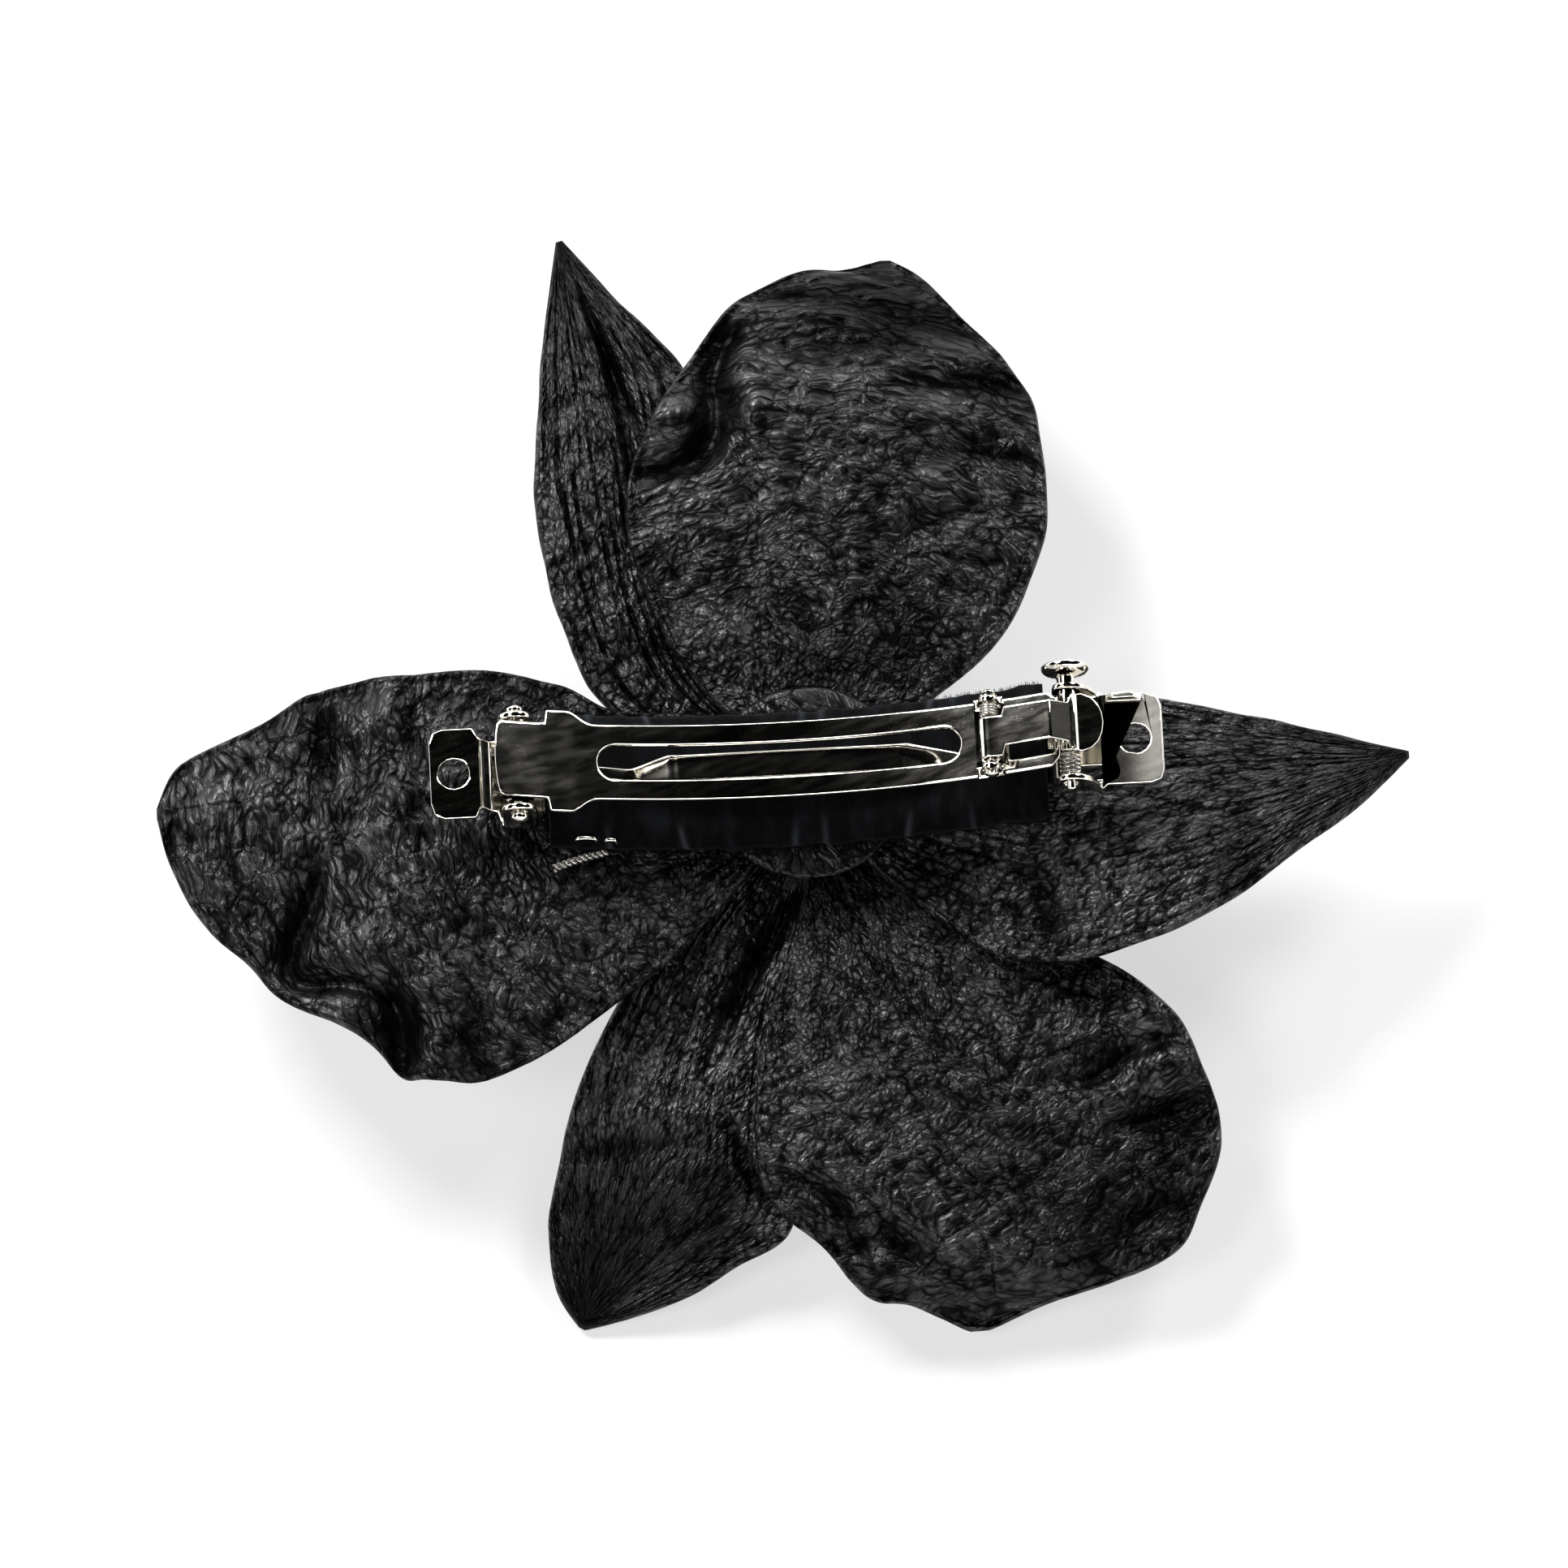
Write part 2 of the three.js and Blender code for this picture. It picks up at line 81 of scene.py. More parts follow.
# ---------------------------------------------------------------- noise and curves
class Noise:
    """Smooth gradient noise in two dimensions, about -0.7 to 0.7, the same on every run."""

    def __init__(self, seed):
        self.angle = np.random.default_rng(seed).uniform(0, 2 * math.pi, (256, 256))

    def __call__(self, x, y):
        column, row = np.floor(x).astype(int), np.floor(y).astype(int)
        fx, fy = x - column, y - row
        wx, wy = (t * t * t * (t * (t * 6 - 15) + 10) for t in (fx, fy))

        def corner(dx, dy):
            angle = self.angle[(column + dx) % 256, (row + dy) % 256]
            return np.cos(angle) * (fx - dx) + np.sin(angle) * (fy - dy)

        low = corner(0, 0) * (1 - wx) + corner(1, 0) * wx
        high = corner(0, 1) * (1 - wx) + corner(1, 1) * wx
        return low * (1 - wy) + high * wy


class Cells:
    """Distance to the border between scattered cells, 0 on the border and about 1 in the middle."""

    def __init__(self, seed):
        rng = np.random.default_rng(seed)
        self.x, self.y = rng.uniform(0.1, 0.9, (2, 256, 256))

    def __call__(self, x, y):
        column, row = np.floor(x).astype(int), np.floor(y).astype(int)
        nearest = np.full(np.shape(x), 9.0)
        second = nearest.copy()
        for dx in (-1, 0, 1):
            for dy in (-1, 0, 1):
                i, j = column + dx, row + dy
                gap = np.hypot(i + self.x[i % 256, j % 256] - x, j + self.y[i % 256, j % 256] - y)
                second = np.minimum(second, np.maximum(nearest, gap))
                nearest = np.minimum(nearest, gap)
        return np.clip((second - nearest) / 0.55, 0, 1)


def rounded(rim, radius):
    """Half the thickness of a sheet's round edge, 0 on its rim and 1 past the radius."""
    return np.sqrt(np.clip(1 - (1 - np.clip(rim / radius, 0, 1)) ** 2, 0, 1))


def creases(noise, x, y):
    """Sharp valleys between soft pillows: 0 on the pillows and -1 in the creases."""
    return -np.clip(1 - 4.5 * np.abs(noise(x, y)), 0, 1) ** 1.5


def spline(points, count, even=True):
    """Points along a Catmull-Rom curve, evenly spaced by length or by parameter."""
    p = np.asarray(points, float)
    t = np.linspace(0, len(p) - 1, 400 if even else count)
    i = np.clip(t.astype(int), 0, len(p) - 2)
    f = (t - i)[:, None]
    a, b, c, d = p[np.maximum(i - 1, 0)], p[i], p[i + 1], p[np.minimum(i + 2, len(p) - 1)]
    v0, v1 = (c - a) / 2, (d - b) / 2
    curve = (2 * b - 2 * c + v0 + v1) * f**3 + (-3 * b + 3 * c - 2 * v0 - v1) * f**2 + v0 * f + b
    if not even:
        return curve
    length = np.concatenate([[0], np.cumsum(np.linalg.norm(np.diff(curve, axis=0), axis=1))])
    wanted = np.linspace(0, length[-1], count)
    return np.stack([np.interp(wanted, length, curve[:, k]) for k in range(p.shape[1])], axis=1)


def bell(distance, width):
    """A smooth bump, 1 at distance 0."""
    return np.exp(-((distance / width) ** 2))


def away(x, y, path):
    """Distance from a smooth line through the points, and how far along it the nearest point is, 0 to 1."""
    line = spline(path, 24)
    gap, along = np.full(np.shape(x), 1e9), np.zeros(np.shape(x))
    for i, (start, end) in enumerate(zip(line[:-1], line[1:])):
        step = end - start
        t = np.clip(((x - start[0]) * step[0] + (y - start[1]) * step[1]) / (step @ step), 0, 1)
        here = np.hypot(x - start[0] - t * step[0], y - start[1] - t * step[1])
        closer = here < gap
        gap = np.where(closer, here, gap)
        along = np.where(closer, (i + t) / (len(line) - 1), along)
    return gap, along


# ---------------------------------------------------------------- meshes
def new_piece(name, vertices, faces, smooth=True):
    """An object from points in metres."""
    mesh = bpy.data.meshes.new(name)
    mesh.from_pydata(np.asarray(vertices).tolist(), [], [list(map(int, f)) for f in faces])
    mesh.update()
    if smooth:
        mesh.shade_smooth()
    else:
        mesh.shade_flat()
    piece = bpy.data.objects.new(name, mesh)
    bpy.context.scene.collection.objects.link(piece)
    return piece


def quads(index):
    """Four-sided faces between the neighbours in a grid of point numbers."""
    a, b, c, d = index[:-1, :-1], index[:-1, 1:], index[1:, 1:], index[1:, :-1]
    return np.stack([a, b, c, d], axis=-1).reshape(-1, 4)


def leaf_body(name, top, bottom):
    """One closed skin from two grids of points that share their rims."""
    rows, columns = top.shape[:2]
    upper = np.arange(rows * columns).reshape(rows, columns)
    lower = upper.copy()
    inner = (rows - 2) * (columns - 2)
    lower[1:-1, 1:-1] = rows * columns + np.arange(inner).reshape(rows - 2, columns - 2)
    vertices = np.concatenate([top.reshape(-1, 3), bottom[1:-1, 1:-1].reshape(-1, 3)])
    faces = np.concatenate([quads(upper), quads(lower)[:, ::-1]])
    return new_piece(name, vertices, faces)


def mark(piece, name, values):
    """Keep one number for each point of a piece, for its material."""
    attribute = piece.data.attributes.new(name, "FLOAT", "POINT")
    attribute.data.foreach_set("value", np.asarray(values, np.float32))


def outward(piece):
    """Turn every face to the outside."""
    shape = bmesh.new()
    shape.from_mesh(piece.data)
    bmesh.ops.recalc_face_normals(shape, faces=shape.faces)
    shape.to_mesh(piece.data)
    shape.free()


def finish_piece(piece, body, slot, material, *nodes):
    """Give a piece its material and moving body, and hide the CAD nodes that it stands for; slot is not used.
    """
    piece.data.materials.clear()
    piece.data.materials.append(material)
    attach(piece, body)
    if nodes:
        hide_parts(*nodes)
    return piece


# ---------------------------------------------------------------- materials
class Shader:
    """A Principled material with short helpers for its node tree."""

    def __init__(self, name, **values):
        self.material = bpy.data.materials.new(name)
        self.material.use_nodes = True
        self.tree = self.material.node_tree
        self.shader = self.tree.nodes["Principled BSDF"]
        for socket, value in values.items():
            self.shader.inputs[socket.replace("_", " ")].default_value = value

    def node(self, kind, inputs=(), **settings):
        made = self.tree.nodes.new(kind)
        for key, value in settings.items():
            setattr(made, key, value)
        for socket, value in dict(inputs).items():
            self.feed(made.inputs[socket], value)
        return made

    def feed(self, socket, value):
        if isinstance(value, bpy.types.NodeSocket):
            self.tree.links.new(value, socket)
        else:
            socket.default_value = value

    def coordinates(self, turn=0.0, scale=(1, 1, 1)):
        """The piece's own coordinates in millimetres, turned about Z and scaled."""
        source = self.node("ShaderNodeTexCoord").outputs["Object"]
        size = tuple(s / MM for s in scale)
        return self.node("ShaderNodeMapping", {"Vector": self.turned(source, turn), "Scale": size}).outputs[0]

    def turned(self, where, turn):
        """Coordinates turned about Z, so that the direction turn becomes X."""
        inputs = {"Vector": where, "Angle": -turn}
        return self.node("ShaderNodeVectorRotate", inputs, rotation_type="Z_AXIS").outputs[0]

    def polar(self, centre, turn):
        """Millimetres round and away from a point in the drawing, with the direction turn in the middle."""
        source = self.node("ShaderNodeTexCoord").outputs["Object"]
        back = tuple(-value for value in place((*centre, 0)))
        moved = self.node("ShaderNodeVectorMath", {0: source, 1: back}, operation="ADD").outputs[0]
        parts = self.node("ShaderNodeSeparateXYZ", {0: self.turned(moved, turn)}).outputs
        flat = self.node("ShaderNodeCombineXYZ", {0: parts[0], 1: parts[1]}).outputs[0]
        away = self.node("ShaderNodeVectorMath", {0: flat}, operation="LENGTH").outputs["Value"]
        angle = self.math("ARCTAN2", parts[1], parts[0])
        return self.node("ShaderNodeCombineXYZ", {
            0: self.math("MULTIPLY", angle, SCALE_RADIUS),
            1: self.math("MULTIPLY", away, 1 / MM),
            2: self.math("MULTIPLY", parts[2], 1 / MM),
        }).outputs[0]

    def noise(self, where, scale, detail=3.0, roughness=0.55):
        inputs = {"Vector": where, "Scale": scale, "Detail": detail, "Roughness": roughness}
        return self.node("ShaderNodeTexNoise", inputs).outputs["Fac"]

    def cells(self, where, scale):
        """Distance to the border between cells."""
        inputs = {"Vector": where, "Scale": scale}
        return self.node("ShaderNodeTexVoronoi", inputs, feature="DISTANCE_TO_EDGE").outputs["Distance"]

    def ridges(self, where, scale, detail):
        """High along a net of thin lines and low between them."""
        return self.node("ShaderNodeTexNoise", {
            "Vector": where, "Scale": scale, "Detail": detail, "Roughness": 0.5, "Lacunarity": 2.1,
            "Offset": 0.9, "Gain": 1.6,
        }, noise_type="RIDGED_MULTIFRACTAL", normalize=False).outputs["Fac"]

    def remap(self, value, low, high, to_low, to_high):
        return self.node("ShaderNodeMapRange", {
            "Value": value, "From Min": low, "From Max": high, "To Min": to_low, "To Max": to_high,
        }).outputs[0]

    def math(self, operation, a, b):
        return self.node("ShaderNodeMath", {0: a, 1: b}, operation=operation).outputs[0]

    def mix(self, factor, a, b):
        made = self.node("ShaderNodeMix", data_type="RGBA")
        self.feed(made.inputs["Factor"], factor)
        self.feed(made.inputs["A"], a)
        self.feed(made.inputs["B"], b)
        return made.outputs["Result"]

    def bump(self, height, distance, strength=1.0):
        inputs = {"Height": height, "Distance": distance, "Strength": strength}
        return self.node("ShaderNodeBump", inputs).outputs[0]

    def set(self, **links):
        """Feed the Principled sockets and hand back the finished material."""
        for socket, value in links.items():
            self.feed(self.shader.inputs[socket.replace("_", " ")], value)
        return self.material


def leather(name, centre, turn, stretch, fine=1.0, sway=4.0, gloss=0.46):
    """Black crinkled leather, with its grain round a point in the drawing, and painted shade in its creases
    and where a piece marks painted_shade. turn is the way to the piece.

    stretch above 1 draws the grain out round the point, and below 1 it draws it out towards the point.
    """
    s = Shader(name)
    taut = s.node("ShaderNodeAttribute", attribute_name="taut").outputs["Fac"]
    painted_shade = s.node("ShaderNodeAttribute", attribute_name="painted_shade").outputs["Fac"]
    ring = s.polar(centre, turn)
    wide = s.node("ShaderNodeMapping", {"Vector": ring, "Scale": (1 / stretch, 1, 1)}).outputs[0]
    plain = s.coordinates()
    drift = s.node("ShaderNodeTexNoise", {"Vector": plain, "Scale": 0.16, "Detail": 2.0}).outputs["Color"]
    far = s.node("ShaderNodeVectorMath", {0: drift, 1: (sway, sway, sway)}, operation="MULTIPLY").outputs[0]
    bent = s.node("ShaderNodeVectorMath", {0: wide, 1: far}, operation="ADD").outputs[0]
    wrinkle = s.ridges(bent, 0.3 * fine, 2.0)
    pillow = s.remap(s.cells(bent, 0.95 * fine), 0.0, 0.3, 0.0, 1.0)
    pebble = s.remap(s.cells(bent, 2.0 * fine), 0.0, 0.35, 0.0, 1.0)
    dents = s.noise(bent, 0.7 * fine, 3.0)
    pores = s.noise(plain, 7.0, 2.0)
    height = s.math("ADD", s.math("MULTIPLY", wrinkle, -0.35), s.math("MULTIPLY", dents, 1.3))
    height = s.math("ADD", height, s.math("MULTIPLY", pillow, 0.55))
    height = s.math("ADD", height, s.math("MULTIPLY", pebble, 0.16))
    height = s.math("ADD", height, s.math("MULTIPLY", pores, 0.1))
    patches = s.noise(plain, 0.09, 3.0)
    # lit_crown is 1 on the pillows and 0 in the creases; the creases get painted shade, a darker colour and
    # less shine.
    lit_crown = s.remap(s.math("ADD", pillow, s.remap(wrinkle, 0.4, 1.4, 0.5, -0.5)), 0.0, 1.2, 0.0, 1.0)
    colour = s.mix(lit_crown, (0.0008, 0.0008, 0.0010, 1), (0.0036, 0.0036, 0.0040, 1))
    # Painted shade: darker still where the piece marks painted_shade.
    colour = s.mix(painted_shade, colour, (0.0006, 0.0006, 0.0007, 1))
    rough = s.math("ADD", s.remap(pores, 0.3, 0.7, 0.38, 0.3), s.remap(patches, 0.3, 0.7, -0.03, 0.05))
    # The specular level, cut by the painted shade in the creases and where the piece marks painted_shade.
    shine = s.math("MULTIPLY", s.remap(lit_crown, 0.0, 1.0, 0.04, gloss), s.remap(painted_shade, 0.0, 1.0, 1.0, 0.1))
    return s.set(
        Base_Color=colour, Roughness=rough, Specular_IOR_Level=shine,
        Normal=s.bump(height, 0.00030, s.remap(taut, 0.0, 1.0, 1.0, 0.3)),
    )


def velvet():
    """Black velvet, with a painted highlight, paler and bluish, along its marked creases."""
    s = Shader("velvet_ribbon", Specular_IOR_Level=0.04, Sheen_Weight=0.02, Sheen_Roughness=0.4)
    crease_shading = s.node("ShaderNodeAttribute", attribute_name="crease_shading").outputs["Fac"]
    pile = s.noise(s.coordinates(0, (1, 0.5, 1)), 9.0, 3.0, 0.7)
    nap = s.noise(s.coordinates(0, (1, 0.3, 1)), 0.6, 3.0)
    colour = s.mix(s.remap(nap, 0.45, 0.75, 0.0, 1.0), (0.0008, 0.0008, 0.001, 1), (0.0035, 0.004, 0.005, 1))
    # Painted highlight: the creases marked crease_shading get a paler, bluish colour.
    colour = s.mix(crease_shading, colour, s.mix(pile, (0.014, 0.016, 0.02, 1), (0.055, 0.06, 0.07, 1)))
    return s.set(
        Base_Color=colour, Roughness=s.remap(pile, 0.3, 0.7, 0.85, 1.0), Normal=s.bump(pile, 0.00018, 0.8)
    )


SATIN_START, SATIN_LENGTH = 31.0, 8.0  # where the right tab turns from polished to satin


def nickel(name="polished_nickel", roughness=0.06, satin_tab=0.0):
    """Bright nickel. satin_tab is the roughness that it gains by the end of the right tab."""
    s = Shader(name, Metallic=1.0)
    smear = s.noise(s.coordinates(0.3, (0.25, 1.2, 1)), 0.9, 4.0)
    specks = s.noise(s.coordinates(), 6.0, 2.0)
    waves = s.noise(s.coordinates(), 0.22, 2.0)
    colour = s.mix(s.remap(smear, 0.3, 0.7, 0.0, 1.0), (0.86, 0.83, 0.76, 1), (0.78, 0.745, 0.67, 1))
    smeared = s.remap(smear, 0.35, 0.7, roughness, roughness + 0.05)
    rough = s.math("ADD", smeared, s.remap(specks, 0.62, 0.8, 0.0, 0.08))
    height = s.math("ADD", waves, s.math("MULTIPLY", specks, 0.004))
    if satin_tab:
        parts = s.node("ShaderNodeSeparateXYZ", {0: s.coordinates()}).outputs
        start = ORIGIN.x / MM + SATIN_START
        rough = s.math("ADD", rough, s.remap(parts[0], start, start + SATIN_LENGTH, 0.0, satin_tab))
    return s.set(Base_Color=colour, Roughness=rough, Normal=s.bump(height, 0.00002, 0.4))


def steel_wire():
    """Drawn wire, darker in streaks."""
    s = Shader("drawn_wire", Metallic=1.0)
    drawn = s.noise(s.coordinates(0, (0.3, 2, 2)), 4.0, 3.0)
    colour = s.mix(s.remap(drawn, 0.4, 0.6, 0.0, 1.0), (0.5, 0.48, 0.44, 1), (0.2, 0.19, 0.18, 1))
    return s.set(
        Base_Color=colour, Roughness=s.remap(drawn, 0.3, 0.7, 0.2, 0.38), Normal=s.bump(drawn, 0.00002, 0.6)
    )


# ---------------------------------------------------------------- petals
THICK = 0.9  # of the leather
ACROSS, ALONG = 170, 200  # points on a petal

# Edges (left, right) run from base to tip in the drawing, and heights are evenly spaced along the petal.
# cup is how far its sides droop, and stretch how wide its arcs of wrinkles are.
# swells: (x, y, radius, height). folds: (points, width, height), a ridge or, below 0, a furrow with painted
# shade.
# ruffles: (side, from, to, count, height) along an edge, with painted shade in the troughs. shade_spots: (x,
# y, radius, amount), painted shade, darker and less shiny.
PETALS = {
    "petal_top_left": dict(
        left=[(0, 2.4), (-12, 6.5), (-20, 11.5), (-25, 22), (-27, 36), (-26, 50), (-24.8, 59), (-23.4, 67.4)],
        right=[(1, 2.8), (-6, 14), (-8.5, 27), (-8, 40), (-10, 51), (-16.8, 59.7), (-22.7, 67.6)],
        heights=[11.5, 11.4, 12.4, 12.9, 12.4, 10.5, 8], cup=1.5, grain="striped",
        swells=[(-25, 52, 5, 0.5), (-24, 40, 6, 0.6)],
        folds=[
            ([(-22.3, 64.5), (-19.2, 55.8), (-16.6, 42), (-14.9, 24)], 0.9, -1.5),
            ([(-20.9, 60), (-17.3, 50), (-14.8, 42), (-12.5, 36)], 0.7, -1.2),
            ([(-26.5, 46.5), (-21, 47.5), (-16, 46)], 0.9, -0.45),
            ([(-23, 14), (-17, 17), (-11, 17)], 0.8, -0.35),
        ],
        ruffles=[("right", 0.6, 0.95, 2, 0.5)],
        shade_spots=[(-16, 13, 6, 0.4), (-11, 34, 4, 0.4)],
    ),
    "petal_top": dict(
        left=[(0.5, 2.4), (-8, 10), (-13.5, 18), (-17, 30), (-16, 38), (-12, 45.5), (-9, 50), (-4, 56.5),
              (3.4, 60.2), (8, 60.9), (12.4, 62)],
        right=[(2.6, 2.2), (14.7, 8.8), (23.5, 16), (28.5, 26), (29.2, 33), (28.6, 41), (26.2, 47),
               (21.2, 53.6), (17, 59.4), (13.4, 62.1)],
        heights=[16.3, 16.3, 17.8, 19.2, 19.2, 16.2, 11.2], cup=1.8, grain="crinkled",
        swells=[(-11.6, 42.6, 3.2, 2.0), (-2.6, 42.5, 3.6, 1.3), (6, 43, 9, 0.6), (18, 38, 8, 0.7)],
        folds=[
            ([(-4.5, 53), (-6.9, 47.5), (-6.6, 43), (-8.6, 38.6), (-15, 36.4)], 2.3, -3.0),
            ([(-5, 45), (-3.5, 38), (-1.5, 32)], 0.8, -0.5),
            ([(-5, 52), (4, 49.5), (14, 50)], 2.2, -0.6),
            ([(3, 31), (6, 25), (8.5, 20)], 0.9, -0.5),
            ([(14, 35), (21, 37), (28, 35)], 1.6, -0.9),
            ([(27, 44), (20, 45), (13, 43.5)], 1.8, -0.8),
            ([(22, 30), (15, 28), (10, 24)], 1.6, -0.7),
        ],
        shade_spots=[(7, 57, 9, 0.75), (17, 53, 7, 0.75), (25, 46, 4, 0.6), (26, 37, 4, 0.5), (12, 15, 6, 0.8),
              (2, 11, 5, 0.7), (14, 23, 4, 0.5), (-5, 52, 4, 0.5)],
        ruffles=[("left", 0.72, 0.98, 2, 0.6), ("right", 0.6, 0.95, 3, 0.5)],
    ),
    "petal_right": dict(
        left=[(3.2, 0.8), (20, 7.4), (33, 7.3), (40, 6.6), (50, 4.5), (61, 2), (67.3, 0.6)],
        right=[(2.8, -0.8), (7.6, -8.6), (13.5, -14.8), (20.5, -20.5), (27.5, -22.5), (36, -21.4),
               (44, -18.5), (52, -13), (61, -6.3), (67.3, -0.2)],
        heights=[14.7, 14.8, 17, 19.6, 21.4, 20.6, 18.4, 15.4], cup=1.4, grain="combed",
        swells=[(38, -12, 9, 0.7), (44, -1, 6, 0.5), (52, -5, 6, -0.5)],
        folds=[
            ([(35, -20), (33, -12), (34, -2), (37, 5)], 1.6, 0.6),
            ([(42, 6), (47, 1), (57, -1.5)], 0.9, -0.5),
            ([(28, -21), (26, -14), (24, -9)], 1.6, -0.7),
        ],
        shade_spots=[(12, -11, 6, 0.75), (21, -15, 6, 0.7), (28, -19, 5, 0.5), (48, -12, 6, 0.4)],
        ruffles=[("right", 0.55, 0.95, 2, 0.5)],
    ),
    "petal_bottom_right": dict(
        left=[(2.8, -1.4), (14.6, -10.3), (31.5, -20), (39.3, -26.3), (43, -33.5), (44.5, -41.5), (42, -47.8),
              (39, -53), (32, -55.6), (24.6, -57), (18, -59.2)],
        right=[(1.4, -2.4), (0.5, -10.4), (-3.4, -22.6), (-6, -33), (-6.3, -42.3), (-4, -47.3), (0.4, -50.8),
               (3.2, -54.4), (6.2, -56.5), (10.5, -57.1), (16, -59.3)],
        heights=[13.1, 13.1, 14.2, 14, 12.2, 8.4, 2.6], cup=1.2, grain="crinkled", stretch=1.1,
        swells=[(37.2, -27.6, 2.8, 1.8), (38.6, -33.2, 2.8, 1.6), (2, -38, 9, 0.8), (20, -30, 9, 0.9),
                (12, -54.5, 3.0, 0.9), (34, -46, 9, -1.6)],
        folds=[
            ([(6.5, -17), (10.5, -25), (16, -31.5), (22, -35.5)], 1.0, -0.8),
            ([(40.5, -30.2), (35.5, -31), (31, -34), (27, -34.5)], 1.5, -1.8),
            ([(43, -36.8), (38.5, -38), (33, -39.5)], 1.6, -1.7),
            ([(-3, -43), (1.5, -46), (5, -52)], 1.3, -1.6),
            ([(6.5, -47), (9, -51.5), (15, -54)], 1.4, -1.4),
            ([(-2, -14), (-1.5, -24), (-2.5, -32)], 0.8, -0.5),
        ],
        shade_spots=[(36, -48, 7, 0.7), (28, -52, 7, 0.6), (40, -41, 4, 0.6), (15, -13, 5, 0.6), (3, -8, 4, 0.6),
              (20, -42, 5, 0.35)],
        ruffles=[("left", 0.5, 0.75, 2, 0.8), ("right", 0.66, 0.97, 3, 0.8)],
    ),
    "petal_bottom_left": dict(
        left=[(0.9, -2.5), (1.2, -10), (-1, -25), (-2.5, -38.5), (-3, -48), (-9, -51.2), (-14.6, -54),
              (-21, -55.5), (-26.2, -56.3)],
        right=[(0, -2), (-14, -11.8), (-21.4, -22.8), (-26.3, -33), (-29, -42.3), (-29.6, -46.3), (-29, -52),
               (-26.8, -55.9)],
        heights=[11.5, 11.2, 10.9, 10.2, 8, 4.5, 1], cup=1.0, grain="combed",
        swells=[(-19, -34.5, 7, 2.4)],
        folds=[
            ([(1.0, -9), (-4.5, -17), (-8.5, -24), (-11.5, -31)], 1.5, -2.2),
            ([(-27.5, -35.5), (-17, -35), (-6, -36)], 1.4, 0.6),
            ([(-10.5, -33), (-8, -40), (-5, -46)], 1.0, -0.8),
            ([(-24, -22), (-15, -19), (-8, -20)], 0.9, -0.3),
            ([(-29, -38), (-20, -38), (-12, -38.5)], 1.8, -0.8),
        ],
        shade_spots=[(-22, -46, 8, 0.6), (-12, -49, 7, 0.7), (-26, -53, 5, 0.5), (-9, -42, 5, 0.6),
              (-3, -6, 5, 0.6)],
        ruffles=[],
    ),
    "petal_left": dict(
        left=[(-1, -1), (-5.4, -9.2), (-12.5, -17.6), (-21.4, -24.9), (-28.3, -29.9), (-33.5, -32.5),
              (-38.8, -33.4), (-43.3, -32.8), (-46.6, -29.5), (-51, -26.4), (-56.8, -23.2), (-60.4, -18.9),
              (-65.5, -13.3), (-68.7, -6.4), (-70, -0.7)],
        right=[(-1.2, 1), (-8.5, 8), (-19.7, 9.6), (-25.3, 12.4), (-33.2, 13.8), (-44, 13.5), (-52.6, 12),
               (-60.4, 8), (-67.3, 5.2), (-70, 0.5)],
        heights=[16.3, 16.3, 18.6, 21, 22.4, 22, 20.4, 18.4], cup=1.5, grain="crinkled", stretch=1.5,
        swells=[(-51, -25, 3.0, 1.8), (-48.5, -17.8, 3.6, 1.3), (-39.5, -29.5, 3.2, 0.9),
                (-47, 8.5, 3.6, 1.2), (-58, 1, 4, 0.6), (-38, 2, 8, 0.5)],
        folds=[
            ([(-52, -8), (-52.8, -11), (-55.8, -16.9), (-55.4, -20.6), (-49.7, -21.8), (-45.2, -23.3)],
             1.6, -2.4),
            ([(-46.5, -21.5), (-44.3, -26), (-44.2, -34)], 2.0, -2.8),
            ([(-51.5, 12), (-51.3, 4), (-53, -3)], 1.6, -1.4),
            ([(-41, 13), (-41.5, 6), (-40, 0)], 1.5, -1.1),
            ([(-21, 10), (-20, 4), (-23, -2)], 1.4, -0.6),
        ],
        shade_spots=[(-63, -9, 6, 0.55), (-52, 9, 5, 0.5), (-37, -26, 6, 0.6), (-58, -14, 4, 0.6),
              (-30, 10, 6, 0.5), (-48, -8, 6, 0.3), (-22, -10, 5, 0.4)],
        ruffles=[("left", 0.42, 0.62, 2, 1.0), ("right", 0.55, 0.95, 3, 0.6)],
    ),
}


def petal_turn(left, right):
    """Direction from a petal's base to its tip."""
    base = (np.array(left[0]) + right[0]) / 2
    tip = (np.array(left[-1]) + right[-1]) / 2
    return math.atan2(tip[1] - base[1], tip[0] - base[0])


def petal_plan(left, right):
    """Points over a petal, crowded a little towards its side edges, and its width at each row."""
    crowd = 0.35
    t = np.linspace(0, 1, ACROSS)
    u = ((1 - crowd) * t + crowd * (0.5 - 0.5 * np.cos(math.pi * t)))[None, :]
    v = np.linspace(0, 1, ALONG)[:, None]
    a = spline(left, ALONG)[:, None, :]
    b = spline(right, ALONG)[:, None, :]
    flat = a + (b - a) * u[..., None]
    return u, v, flat[..., 0], flat[..., 1], np.linalg.norm(b - a, axis=2)


